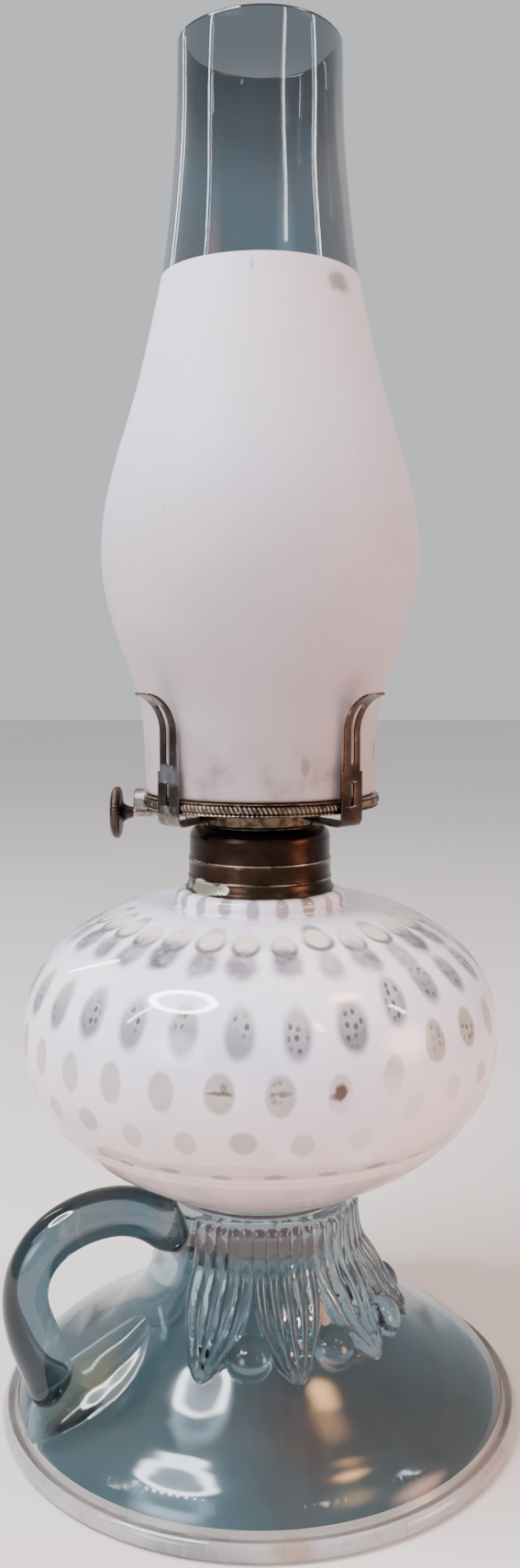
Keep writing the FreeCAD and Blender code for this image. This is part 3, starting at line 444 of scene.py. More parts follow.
def cotton(name):
    m = Mat(name)
    x, y, z = m.xyz_mm()
    warp = (x * 5.2).sin()
    weft = (z * 6.0 + (x * 0.9).floor() * 3.1).sin()
    weave = (warp * weft) * 0.5 + 0.5
    fuzz = m.noise(900.0, 3.0, 0.7)
    base = m.mix(weave * 0.5 + fuzz * 0.4, (0.52, 0.47, 0.36), (0.80, 0.76, 0.66))
    oil = z.ramp(168.0, 120.0) * 0.55
    base = m.mix(oil, base, (0.42, 0.33, 0.19))
    char = (z + m.noise(260.0, 3.0) * 4.0).ramp(184.5, 188.0)
    base = m.mix(char, base, (0.012, 0.010, 0.009))
    m.set("Base Color", base)
    m.set("Roughness", fuzz.ramp(0.3, 0.7, 0.82, 0.95))
    m.set("Sheen Weight", 0.25)
    m.bump(weave + fuzz * 0.4, 0.35, 0.6)
    return m.m


def plaster(name):
    m = Mat(name)
    n = m.noise(220.0, 5.0, 0.65)
    m.set("Base Color", m.mix(n.ramp(0.35, 0.7), (0.62, 0.57, 0.48), (0.82, 0.79, 0.72)))
    m.set("Roughness", n.ramp(0.3, 0.7, 0.8, 0.95))
    m.bump(n, 0.25, 0.5)
    return m.m


GLASS_FOOT = tinted_glass("glass_foot", kind="foot")
GLASS_RIM = rim_glass("glass_rim")
GLASS_HANDLE = tinted_glass("glass_handle", kind="handle")
GLASS_CHIMNEY = tinted_glass("glass_chimney", kind="chimney", ripple=0.08)
FROST = frosted("glass_frosted")
OPAL = opal("glass_opal")
COTTON = cotton("wick_cotton")
PLASTER = plaster("cement_plaster")


def collar_brass():
    bm = brass("brass_collar", dark=(0.018, 0.010, 0.0075), mid=(0.040, 0.023, 0.015), bright=(0.46, 0.34, 0.21), rough=(0.20, 0.33), wear=0.7, grain=(1, 1, 9), speck_amount=0.06)
    m = bm
    x, y, z = m.xyz_mm()
    # worn silvery-cream patch low on the left
    dd = (((x + 14.5) / 5.6).pw(2.0) + ((z - 151.2) / 2.1).pw(2.0)).sqrt() + (m.noise(170.0, 3.0, 0.6) - 0.5) * 1.7
    front = (y * -1.0).ramp(2.0, 6.0)
    patch = dd.ramp(1.0, 0.86) * front
    old = m.bsdf.inputs["Base Color"].links[0].from_socket
    col = Sock(m.t, old)
    # painted highlight: a bright band round each bead, broken up by noise
    bead_glint = m.noise(120.0, 3.0, 0.6).ramp(0.30, 0.62)
    for z0, w_ in ((152.8, 0.28), (157.9, 0.30)):
        col = m.mix((1.0 - ((z - z0) / w_).abs()).ramp(0.0, 0.7) * bead_glint * 0.75, col, (0.62, 0.47, 0.33))
    # painted shade: the top of the collar is darkened where it sits under the burner and gallery
    col = m.mix(z.ramp(163.5, 166.4) * 0.55, col, (0.020, 0.013, 0.010))
    col = m.mix(z.ramp(156.8, 151.0) * 0.45 * m.noise(85.0, 4.0, 0.6).ramp(0.36, 0.60), col, (0.062, 0.044, 0.022))
    m.set("Base Color", m.mix(patch, col, (0.50, 0.48, 0.36)))
    return m.m


COLLAR = collar_brass()
GALLERY = brass("brass_gallery", dark=(0.026, 0.017, 0.012), mid=(0.10, 0.070, 0.050), bright=(0.50, 0.40, 0.30), wear=0.8, edge_at=(0.505, 0.56)).m
BARE = brass("brass_bare", dark=(0.10, 0.065, 0.035), mid=(0.30, 0.20, 0.10), bright=(0.62, 0.48, 0.29), rough=(0.30, 0.5), wear=0.3).m
DARK = brass("brass_dark", dark=(0.018, 0.012, 0.009), mid=(0.060, 0.038, 0.027), bright=(0.30, 0.22, 0.14), wear=0.5, speck_amount=0.12).m
KNOB = brass("brass_knob", dark=(0.030, 0.020, 0.015), mid=(0.090, 0.060, 0.046), bright=(0.40, 0.32, 0.25), rough=(0.30, 0.5), wear=0.8, speck_amount=0.18).m
PRONG_BROWN = brass("prong_brown", dark=(0.020, 0.013, 0.011), mid=(0.075, 0.046, 0.032), bright=(0.38, 0.31, 0.26), rough=(0.24, 0.40), wear=0.9, speck_amount=0.18).m


def prong_grey():
    m = brass("prong_grey", dark=(0.016, 0.012, 0.011), mid=(0.050, 0.042, 0.039), bright=(0.28, 0.25, 0.23), rough=(0.26, 0.42), wear=0.8, speck_amount=0.16)
    x, y, z = m.xyz_mm()
    # bluish bloom where the strap steps in, rust toward the foot of it
    bloom = (1.0 - ((z - 182.6) / 3.6).abs() + (m.noise(260.0, 3.0, 0.6) - 0.5) * 1.3).ramp(0.15, 0.65)
    rust = m.noise(210.0, 4.0, 0.65).ramp(0.52, 0.66) * z.ramp(182.0, 171.0)
    old = Sock(m.t, m.bsdf.inputs["Base Color"].links[0].from_socket)
    col = m.mix(bloom * 0.55, old, (0.17, 0.195, 0.235))
    m.set("Base Color", m.mix(rust * 0.6, col, (0.13, 0.055, 0.025)))
    return m.m


PRONG_GREY = prong_grey()
LUG = brass("lug_grey", dark=(0.030, 0.024, 0.020), mid=(0.085, 0.068, 0.056), bright=(0.42, 0.38, 0.34), rough=(0.30, 0.5), wear=0.6).m
STEEL = brass("shaft_steel", dark=(0.10, 0.075, 0.06), mid=(0.26, 0.22, 0.19), bright=(0.52, 0.48, 0.44), rough=(0.30, 0.5), wear=0.6).m

SLOTS = {n["node"]: n["material_slot"] for n in frame["record"]["subparts"]}


# ---------------------------------------------------------- mesh tools ----
def smooth_curve(pts, n):
    """n points on a natural cubic through pts, by chord length."""
    p = np.array(pts, float)
    t = np.concatenate([[0], np.cumsum(np.linalg.norm(np.diff(p, axis=0), axis=1))])
    k = len(t)
    h = np.diff(t)
    A = np.zeros((k, k)); B = np.zeros((k, p.shape[1]))
    A[0, 0] = A[-1, -1] = 1.0
    for i in range(1, k - 1):
        A[i, i - 1], A[i, i], A[i, i + 1] = h[i - 1], 2 * (h[i - 1] + h[i]), h[i]
        B[i] = 6 * ((p[i + 1] - p[i]) / h[i] - (p[i] - p[i - 1]) / h[i - 1])
    M = np.linalg.solve(A, B)
    u = np.linspace(0, t[-1], n) if np.isscalar(n) else np.asarray(n) * t[-1]
    j = np.clip(np.searchsorted(t, u, side="right") - 1, 0, k - 2)
    hj = h[j][:, None]; a = (t[j + 1] - u)[:, None]; b = (u - t[j])[:, None]
    return M[j] * a ** 3 / (6 * hj) + M[j + 1] * b ** 3 / (6 * hj) + (p[j] / hj - M[j] * hj / 6) * a + (p[j + 1] / hj - M[j + 1] * hj / 6) * b


def normals_2d(p):
    d = np.gradient(p, axis=0)
    n = np.stack([d[:, 1], -d[:, 0]], 1)
    return n / np.maximum(np.linalg.norm(n, axis=1), 1e-9)[:, None]


def make(name, verts, faces, mats, uvs=None, face_mats=None, sharp=None):
    me = bpy.data.meshes.new(name)
    me.from_pydata([tuple(v) for v in verts], [], [tuple(f) for f in faces])
    me.update()
    if uvs is not None:
        lay = me.uv_layers.new(name="UVMap")
        idx = np.empty(len(me.loops), np.int32)
        me.loops.foreach_get("vertex_index", idx)
        data = np.asarray(uvs, float)[idx]
        # close the seam: loops of a face that spans it read 1 instead of 0
        starts = np.empty(len(me.polygons), np.int32); tot = np.empty(len(me.polygons), np.int32)
        me.polygons.foreach_get("loop_start", starts); me.polygons.foreach_get("loop_total", tot)
        for s, c in zip(starts, tot):
            seg = data[s:s + c, 0]
            if seg.max() - seg.min() > 0.5:
                seg[seg < 0.5] += 1.0
        lay.data.foreach_set("uv", data.astype(np.float32).ravel())
    for mt in mats:
        me.materials.append(mt)
    if face_mats is not None:
        me.polygons.foreach_set("material_index", np.asarray(face_mats, np.int32))
    bm = bmesh.new(); bm.from_mesh(me)
    bmesh.ops.recalc_face_normals(bm, faces=bm.faces)
    bm.to_mesh(me); bm.free()
    me.polygons.foreach_set("use_smooth", np.ones(len(me.polygons), bool))
    if sharp:
        me.set_sharp_from_angle(angle=math.radians(sharp))
    me.update()
    ob = bpy.data.objects.new(name, me)
    bpy.context.scene.collection.objects.link(ob)
    return ob


def ring_faces(rows, cols, base=0, wrap_rows=False):
    i = np.arange(rows - (0 if wrap_rows else 1))[:, None]
    j = np.arange(cols)[None, :]
    i2 = (i + 1) % rows; j2 = (j + 1) % cols
    a = i * cols + j; b = i * cols + j2; c = i2 * cols + j2; d = i2 * cols + j
    return (np.stack([a, b, c, d], -1).reshape(-1, 4) + base).tolist()


def lathe(name, loop_mm, seg, mats, sharp=None, mat_of=None, with_uv=False, axis_x=None, shape=None):
    """Closed or axis-to-axis outline (radius, height) spun about +Z."""
    p = np.asarray(loop_mm, float)
    poles = [p[0, 0] < 1e-6, p[-1, 0] < 1e-6]
    closed = not any(poles)
    core = p[(1 if poles[0] else 0):(len(p) - 1 if poles[1] else len(p))]
    az = np.arange(seg) * TAU / seg
    R = np.repeat(core[:, 0][:, None], seg, 1); Z = np.repeat(core[:, 1][:, None], seg, 1)
    if shape is not None:
        R, Z = shape(R, Z, az[None, :])
    X = R * np.sin(az); Y = -R * np.cos(az)
    verts = np.stack([X, Y, Z], -1).reshape(-1, 3)
    faces = ring_faces(len(core), seg, 0, closed)
    verts = verts.tolist()
    if poles[0]:
        k = len(verts); verts.append([0, 0, p[0, 1]])
        faces += [[k, (j + 1) % seg, j] for j in range(seg)]
    if poles[1]:
        k = len(verts); verts.append([0, 0, p[-1, 1]])
        o = (len(core) - 1) * seg
        faces += [[k, o + j, o + (j + 1) % seg] for j in range(seg)]
    verts = np.array(verts)
    uvs = None
    if with_uv:
        uvs = np.stack([(np.degrees(np.arctan2(verts[:, 0], -verts[:, 1])) % 360.0) / 360.0, verts[:, 2] / 200.0], 1)
    if axis_x is not None:
        ox, oy, oz = axis_x
        verts = np.stack([verts[:, 2] + ox, verts[:, 1] + oy, -verts[:, 0] + oz], 1)
    fm = None
    if mat_of is not None:
        cz = np.array([np.mean([verts[i][2] for i in f]) for f in faces])
        cr = np.array([np.mean([math.hypot(verts[i][0], verts[i][1]) for i in f]) for f in faces])
        fm = mat_of(cr, cz, len(faces), seg)
    return make(name, verts * MM, faces, mats, uvs, fm, sharp)


def place(ob, body, slot, *nodes):
    if nodes:
        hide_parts(*nodes)
    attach(ob, body)
    return ob


def arc(cx, cz, r, a0, a1, n):
    a = np.radians(np.linspace(a0, a1, n))
    return [(cx + r * math.cos(t), cz + r * math.sin(t)) for t in a]


def rounded(loop, radius, n=4):
    """Closed outline with each corner turned into a small arc."""
    out = []
    k = len(loop)
    P = [np.array(q, float) for q in loop]
    for i in range(k):
        a, b, c = P[i - 1], P[i], P[(i + 1) % k]
        ra = radius[i] if hasattr(radius, "__len__") else radius
        d1, d2 = a - b, c - b
        l1, l2 = np.linalg.norm(d1), np.linalg.norm(d2)
        cut = min(ra, 0.45 * l1, 0.45 * l2)
        if cut < 1e-4:
            out.append(b); continue
        s, e = b + d1 / l1 * cut, b + d2 / l2 * cut
        for t in np.linspace(0, 1, n + 1):
            out.append((1 - t) ** 2 * s + 2 * t * (1 - t) * b + t ** 2 * e)
    return [tuple(q) for q in out]


# --------------------------------------------------------------- foot -----
TOP = 64.6
limb = [(26.95, 64.0), (26.95, 60.0), (27.2, 54.8), (28.0, 49.2), (29.8, 43.5), (32.2, 37.8),
        (35.0, 32.8), (38.5, 28.7), (42.0, 25.6), (46.0, 22.6), (50.0, 20.0), (54.0, 18.0),
        (58.0, 15.9), (62.0, 13.5), (66.0, 10.5), (68.5, 7.6), (69.7, 5.2)]
dense = smooth_curve(limb, 900)
slen = np.concatenate([[0], np.cumsum(np.linalg.norm(np.diff(dense, axis=0), axis=1))])
s_fine = float(np.interp(47.5, dense[:, 0], slen))
s_rows = np.concatenate([np.linspace(0, s_fine, 94)[:-1], np.linspace(s_fine, slen[-1], 36)])
foot_out = np.stack([np.interp(s_rows, slen, dense[:, 0]), np.interp(s_rows, slen, dense[:, 1])], 1)
foot_n = normals_2d(foot_out)
foot_n[foot_n[:, 1] < -0.2] *= -1
foot_n = np.where((foot_n[:, 0] < 0)[:, None], -foot_n, foot_n)
SEG = 530
AZ = np.arange(SEG) * TAU / SEG
azd = np.degrees(AZ)[None, :]
Rg = foot_out[:, 0][:, None]; Zg = foot_out[:, 1][:, None]; Sg = s_rows[:, None]


def sstep(x, a, b):
    t = np.clip((x - a) / (b - a), 0, 1)
    return t * t * (3 - 2 * t)


relief = np.zeros((len(s_rows), SEG))
CL, BALL, N = 14.0, -4.0, 10
d_cl = (azd - CL + 18.0) % 36.0 - 18.0
z_tip = 25.4
tdown = np.clip((47.0 - Zg) / (47.0 - z_tip), 0, 1)
half = 18.0 * (1.0 - 0.10 * tdown) * np.clip(1.0 - tdown ** 2.1, 0, 1) ** 0.72
half = np.maximum(half, 0.05)
q = d_cl / half
leaf_at = (np.round((azd - CL) / 36.0) * 36.0 + CL) % 360.0
ball_at = (np.round((azd - BALL) / 36.0) * 36.0 + BALL) % 360.0
leaf_on = (np.abs(leaf_at - 302.0) > 1) & (np.abs(leaf_at - 266.0) > 1)
ball_on = (np.abs(ball_at - 320.0) > 1) & (np.abs(ball_at - 284.0) > 1) & (np.abs(ball_at - 248.0) > 1)
inside = (np.abs(q) < 1) & leaf_on
f = ((q + 1) / 2 * 5) % 1.0 - 0.5
flute = np.clip(1 - (2 * f) ** 2, 0, 1) ** 0.62
amp = 1.20 + 1.15 * sstep(56.0 - Zg, 0.0, 16.0)
amp = amp * sstep(Zg, z_tip - 0.5, z_tip + 6.0) ** 0.5 * sstep(61.6 - Zg, 0.0, 2.2 + 1.0 * (2 * f) ** 2)
proud = 1.55 * np.clip(1 - q ** 2, 0, 1) ** 0.42 * sstep(49.0 - Zg, 0, 11.0) * sstep(Zg, z_tip - 0.2, z_tip + 2.4)
relief += np.where(inside, flute * amp * (0.70 + 0.30 * (1 - np.abs(q))) + proud, 0)
# ball between each pair of leaves
d_b = (azd - BALL + 18.0) % 36.0 - 18.0
s_ball = float(np.interp(36.9, dense[:, 0], slen))
dist = np.sqrt((np.radians(d_b) * 37.0) ** 2 + (Sg - s_ball) ** 2)
ball = 4.4 * np.clip(1 - (dist / 5.7) ** 2, 0, 1) ** 0.5 * ball_on
relief = np.maximum(relief, ball)
# pad where the handle was first stuck down: a thick lens of glass
Xf = Rg * np.sin(AZ)[None, :]; Yf = -Rg * np.cos(AZ)[None, :]
pc, ps = math.cos(math.radians(27)), math.sin(math.radians(27))
dx, dy = Xf + 46.6, Yf + 25.4
along = dx * pc + dy * ps; across = -dx * ps + dy * pc
pr = np.sqrt((along / 17.3) ** 2 + (across / 13.0) ** 2)
pad = 3.4 * np.clip(1 - pr ** 2.2, 0, 1) ** 0.85
relief = np.maximum(relief, pad)
relief *= sstep(Sg, 0.0, 1.2)
# slow press ripples that circle the outer slope
slope_on = sstep(Rg, 52, 58) * (1 - sstep(Rg, 67.5, 69))
relief += slope_on * (0.035 * np.sin(Rg * 0.80 + 0.9 * np.sin(AZ * 3 + 0.4)[None, :]) * (0.6 + 0.4 * np.sin(AZ * 2 + 1.0)[None, :]) + 0.012 * np.sin(Rg * 1.9 + 2.0 * np.sin(AZ * 5)[None, :]))
relief += 0.12 * np.sin(3 * AZ)[None, :] * sstep(Rg, 40, 60) * (1 - sstep(Rg, 66, 69)) + 0.08 * np.sin(5 * AZ + 1)[None, :] * sstep(Rg, 40, 60) * (1 - sstep(Rg, 66, 69))
RR = Rg + relief * foot_n[:, 0][:, None]
ZZ = Zg + relief * foot_n[:, 1][:, None]
rim_pts = smooth_curve([(70.25, 4.15), (70.75, 4.2), (71.8, 4.75), (73.1, 4.0), (73.75, 2.6), (73.6, 0.9), (72.6, 0.0)], 16)
hollow = smooth_curve([(68.8, 0.0), (68.2, 1.2), (66.4, 3.8), (62.0, 7.6), (58.0, 9.9), (54.0, 12.1), (50.0, 14.3),
                       (46.0, 16.8), (42.0, 19.7), (38.0, 22.8), (33.5, 26.2), (29.0, 30.0), (25.5, 34.6), (23.2, 40.0),
                       (21.5, 45.0), (18.6, 49.0), (13.0, 51.6), (6.5, 52.4), (1.2, 52.6)], 34)
under = np.concatenate([rim_pts, hollow])
low_R = np.repeat(under[:, 0][:, None], SEG, 1); low_Z = np.repeat(under[:, 1][:, None], SEG, 1)
allR = np.concatenate([RR, low_R]); allZ = np.concatenate([ZZ, low_Z])
V3 = np.stack([allR * np.sin(AZ), -allR * np.cos(AZ), allZ], -1).reshape(-1, 3).tolist()
F3 = ring_faces(len(allR), SEG)
cap_pts = [(24.0, 66.0), (25.7, 66.0), (26.05, 65.8), (26.1, 65.4), (26.1, 64.85), (26.35, 64.6), (26.75, 64.4)]
cR = np.array([c_[0] for c_ in cap_pts]); cZ = np.array([c_[1] for c_ in cap_pts])
base_i = len(V3)
for r_, z_ in cap_pts:
    V3 += np.stack([r_ * np.sin(AZ), -r_ * np.cos(AZ), np.full(SEG, z_)], -1).tolist()
F3 += ring_faces(len(cap_pts), SEG, base_i)
o2 = base_i + (len(cap_pts) - 1) * SEG
F3 += [[o2 + j, o2 + (j + 1) % SEG, (j + 1) % SEG, j] for j in range(SEG)]
k = len(V3); V3.append([0, 0, 66.0]); F3 += [[k, base_i + j, base_i + (j + 1) % SEG] for j in range(SEG)]
k = len(V3); V3.append([0, 0, 52.6]); o = (len(allR) - 1) * SEG
F3 += [[k, o + (j + 1) % SEG, o + j] for j in range(SEG)]
V3 = np.array(V3)
F_mid = np.array([V3[list(f_)].mean(0) for f_ in F3])
on_rim = (np.hypot(F_mid[:, 0], F_mid[:, 1]) > 69.25) & (F_mid[:, 2] < 6.5)
foot = make("foot_glass", V3 * MM, F3, [GLASS_FOOT, GLASS_RIM], face_mats=on_rim.astype(np.int32), sharp=62)
place(foot, "lamp_base", "clear_glass", "foot", "joining_wafer")

# ------------------------------------------------------------- handle -----
turn = math.radians(23.0)
out = np.array([-math.cos(turn), -math.sin(turn), 0.0])
side = np.array([math.sin(turn), -math.cos(turn), 0.0])
loop = [(60.2, 11.6, 4.6), (61.2, 14.6, 6.2), (62.6, 19.6, 6.7), (65.8, 29.4, 7.05), (68.4, 40.4, 6.4),
        (67.0, 49.4, 6.2), (61.4, 56.8, 6.4), (50.9, 61.5, 6.8), (40.2, 61.6, 6.9),
        (31.3, 58.0, 7.2), (26.8, 54.8, 7.3), (24.2, 52.5, 6.2)]
hp = smooth_curve([(r, z, w) for r, z, w in loop], 120)
cen = np.array([out * r + np.array([0, 0, z]) for r, z in hp[:, :2]])
tan = np.gradient(cen, axis=0); tan /= np.linalg.norm(tan, axis=1)[:, None]
up = np.cross(np.repeat(side[None], len(cen), 0), tan)
HS = 56
th = np.arange(HS) * TAU / HS
wob = 1 + 0.012 * np.sin(np.linspace(0, 15, len(cen)))
rows = []
endcap = []
for i in range(len(cen)):
    w = hp[i, 2] * wob[i]
    rows.append(cen[i] + w * (1.03 * np.cos(th)[:, None] * side + 0.98 * np.sin(th)[:, None] * up[i]))
first = [cen[0] - tan[0] * hp[0, 2] * 0.42 * math.sin(a) + (rows[0] - cen[0]) * math.cos(a) for a in np.radians([78, 55, 30])]
last = [cen[-1] + tan[-1] * hp[-1, 2] * 0.6 * math.sin(a) + (rows[-1] - cen[-1]) * math.cos(a) for a in np.radians([25, 50, 72])]
rows = first + rows + last
HV = np.concatenate(rows).tolist()
HF = ring_faces(len(rows), HS)
k = len(HV); HV.append((cen[0] - tan[0] * hp[0, 2] * 0.44).tolist()); HF += [[k, (j + 1) % HS, j] for j in range(HS)]
k = len(HV); HV.append((cen[-1] + tan[-1] * hp[-1, 2] * 0.62).tolist()); o = (len(rows) - 1) * HS
HF += [[k, o + j, o + (j + 1) % HS] for j in range(HS)]
handle = make("handle_glass", np.array(HV) * MM, HF, [GLASS_HANDLE])
place(handle, "lamp_base", "clear_glass", "finger_handle")

# --------------------------------------------------------------- font -----
ring = [(21.6, 149.2), (22.8, 148.7), (23.5, 147.7), (23.7, 146.6), (23.6, 145.6), (24.0, 144.95), (24.8, 144.8)]
upper = [(24.8, 144.8), (28.0, 145.2), (32.0, 145.15), (36.5, 144.3), (41.5, 142.5), (47.2, 139.9),
         (53.3, 136.0), (59.0, 131.0), (63.0, 125.0), (65.5, 118.0), (66.6, 110.0),
         (66.0, 103.0), (64.0, 96.0), (60.8, 90.4), (58.6, 87.9)]
lower = [(57.0, 85.4), (54.0, 82.0), (49.5, 78.2), (43.6, 74.2), (38.0, 70.9), (33.0, 68.3), (28.0, 66.0)]
in_low = [(50.6, 83.4), (45.6, 79.6), (39.6, 76.0), (33.0, 73.0), (24.0, 70.8), (12.0, 69.7), (1.0, 69.5)]
in_up = [(14.2, 150.2), (15.2, 147.4), (17.6, 144.6), (21.5, 142.7), (28.0, 141.8), (36.0, 140.4), (43.6, 137.5), (50.6, 133.5),
         (56.4, 128.5), (60.2, 123.0), (62.5, 117.2), (63.6, 110.2), (63.0, 103.8), (61.1, 97.3), (57.7, 91.0), (54.8, 87.2), (50.6, 83.4)]
ledge = smooth_curve([(58.6, 87.9), (58.55, 87.2), (58.1, 86.6), (57.5, 86.5), (57.2, 86.1), (57.0, 85.4)], 12)
neck_out = [(21.6, 149.2), (21.2, 149.22), (20.6, 149.2), (18.0, 149.2), (17.6, 149.5), (17.6, 157.2), (17.2, 157.6), (14.6, 157.6), (14.2, 157.2)]
font_loop = np.concatenate([np.array([(0.0, 65.96), (20.0, 65.96), (25.0, 65.97)]), smooth_curve(lower, 30)[::-1], ledge[::-1][1:-1], smooth_curve(upper, 116)[::-1], smooth_curve(ring, 22)[::-1][1:],
                            np.array(neck_out[1:]), smooth_curve(in_up, 60), smooth_curve(in_low, 24)[1:], np.array([(0.0, 69.5)])])


def blown(R, Z, az):
    k = sstep(Z, 84, 96) * (1 - sstep(Z, 138, 143)) * (R > 30)
    return R + k * (0.18 * np.sin(2 * az + 0.6) + 0.10 * np.sin(5 * az + 2.0) + 0.10 * np.sin(Z * 0.21)), Z


font = lathe("font_glass", font_loop, 288, [OPAL], sharp=75, with_uv=True, shape=blown)
place(font, "lamp_base", "opal_glass", "oil_font")

# ------------------------------------------------------------- collar -----
skirt = [(19.3, 149.22), (20.7, 149.22), (20.78, 149.7), (20.3, 150.5), (20.02, 151.3), (19.85, 152.2), (19.85, 152.45), (20.1, 152.65),
         (20.12, 152.95), (19.82, 153.2), (19.78, 155.0), (19.75, 157.1), (19.95, 157.35), (20.02, 157.8), (19.85, 158.15), (19.6, 158.4),
         (19.6, 163.4), (19.55, 164.2), (19.28, 165.1), (18.75, 165.95), (18.0, 166.6), (17.2, 166.98), (16.5, 167.1), (16.1, 167.0), (15.95, 166.7)]
inner = []
for k in range(3):
    z0 = 166.1 - 2.0 * k
    inner += [(15.95, z0), (16.2, z0 - 0.35), (16.35, z0 - 0.6), (16.2, z0 - 0.85), (15.95, z0 - 1.2)]
inner += [(15.95, 158.6), (16.75, 158.6), (16.75, 164.0), (18.72, 164.0), (18.72, 150.2), (19.3, 150.2)]
collar = lathe("collar_brass", rounded(skirt, 0.25, 3) + rounded(inner, 0.08, 2), 200, [COLLAR], sharp=50,
               shape=lambda R, Z, az: (R + 0.05 * np.sin(3 * az + 1) + 0.03 * np.sin(7 * az), Z))
place(collar, "lamp_base", "aged_brass", "collar")

# ------------------------------------------------------------ gallery -----
dish = [(15.7, 170.9), (17.0, 170.9), (27.6, 171.9), (32.2, 172.6), (32.75, 172.9)]
band = [(33.1 + 0.0, z) for z in np.linspace(173.25, 175.55, 11)]
lip = [(32.95, 175.8), (32.6, 175.95), (29.4, 175.95), (29.2, 175.8), (29.2, 175.1), (29.4, 175.0), (31.5, 175.0), (31.4, 173.6), (27.5, 172.75), (17.0, 171.7), (15.7, 171.7)]
gloop = np.array(dish + band + lip)


def knurl(R, Z, az):
    t = np.clip((Z - 173.25) / 2.3, 0, 1)
    on = (R > 33.05) * (Z > 173.2) * (Z < 175.6)
    crown = 0.55 * (2 * t - 1) ** 2
    rope = 0.30 * (np.abs(np.sin(az * 84 + t * 2.6)) - 1.0)
    return R + on * (rope - crown), Z


gallery = lathe("gallery_brass", gloop, 1344, [GALLERY, BARE], sharp=60, shape=knurl)
# the arched lug over the wick shaft
sy, sz = -5.6, 173.4
n = 26
a = np.radians(np.linspace(-8, 188, n))
prof = np.stack([sy + 4.1 * np.cos(a), sz + 4.1 * np.sin(a)], 1)
prof = np.concatenate([prof, np.array([[sy - 4.0, 172.0], [sy - 1.9, 171.9], [sy + 1.9, 171.9], [sy + 4.0, 172.0]])])
lv, lf = [], []
for x, ins in ((-34.35, 0.5), (-34.6, 0.9)):
    pass
sect = [(-32.2, 0.0), (-33.9, 0.0), (-34.25, 0.18), (-34.4, 0.55)]
cy, cz = prof[:, 0].mean(), 173.4
for x, ins in sect:
    for y, z in prof:
        d = np.array([y - sy, z - 173.0]); L = max(np.linalg.norm(d), 1e-6)
        yy, zz2 = y - d[0] / L * ins, z - d[1] / L * ins
        xx = x
        if x > -33:
            xx = -math.sqrt(max(32.2 ** 2 - yy ** 2, 1.0))
        lv.append([xx, yy, zz2])
m_ = len(prof)
for i in range(len(sect) - 1):
    for j in range(m_):
        lf.append([i * m_ + j, i * m_ + (j + 1) % m_, (i + 1) * m_ + (j + 1) % m_, (i + 1) * m_ + j])
lf.append(list(range(m_))[::-1]); lf.append([(len(sect) - 1) * m_ + j for j in range(m_)])
lug = make("gallery_lug", np.array(lv) * MM, lf, [LUG], sharp=40)
place(gallery, "burner", "aged_brass", "gallery")
place(lug, "burner", "aged_brass")

# ------------------------------------------------------------- prongs -----
TK = 0.55
ri = 33.4
curl = 10.6
cl = [(18.6, 170.35), (22.5, 170.12), (26.0, 169.88), (29.0, 169.62)]
cl += arc(ri + TK / 2 - 1.9, 171.3, 1.9, -82, 0, 9)
cl += [(ri + TK / 2, z) for z in (173.2, 174.2, 176.0, 178.0, 180.0, 182.0, 184.0, 186.0, 188.0, 190.0, 192.0)]
cl += arc(ri + TK / 2 + curl, 193.6, curl, 180, 98, 16)
cl = np.array(cl)
cs = np.concatenate([[0], np.cumsum(np.linalg.norm(np.diff(cl, axis=0), axis=1))])


def s_at(z, after=169.4):
    up_part = cs[np.where((cl[:, 0] > 33.5))[0]]
    zs = cl[np.where((cl[:, 0] > 33.5))[0], 1]
    return float(np.interp(z, zs, up_part))


s_slot1 = (s_at(174.6), s_at(180.9))
s_slot2 = (s_at(185.3), s_at(201.2))
s_step = s_at(183.7)
samples = set(np.round(np.linspace(0, cs[-1], 110), 3).tolist())
for a_, b_ in (s_slot1, s_slot2):
    hw = 0.70 if (a_, b_) == s_slot1 else 0.85
    for tt in np.linspace(0, 1, 7):
        samples.add(round(a_ + hw * tt, 3)); samples.add(round(b_ - hw * tt, 3))
for e in (-0.3, -0.05, 0.05, 0.4):
    samples.add(round(s_step + e, 3))
S = np.array(sorted(samples))
S = S[np.concatenate([[True], np.diff(S) > 0.02])]
PX = np.interp(S, cs, cl[:, 0]); PZ = np.interp(S, cs, cl[:, 1])
pn = normals_2d(np.stack([PX, PZ], 1))


def slot_half(s):
    for (a_, b_), hw in ((s_slot1, 0.70), (s_slot2, 0.85)):
        if a_ <= s <= b_:
            e = min(s - a_, b_ - s)
            return hw * math.sqrt(max(0.0, 1 - (1 - min(e / hw, 1)) ** 2)) if e < hw else hw
    return 0.0


def width_half(s):
    x = float(np.interp(s, cs, cl[:, 0]))
    root = 2.3 + (4.0 - 2.3) * min(max((x - 18.6) / 12.0, 0), 1) if s < s_at(172) else 4.0
    w = root if s < s_step else 3.05 - 0.12 * sstep(s, s_step, cs[-1])
    tip = cs[-1] - s
    return w * (math.sqrt(max(0.04, 1 - max(0, 1 - tip / 1.2) ** 2 * 0.55)))


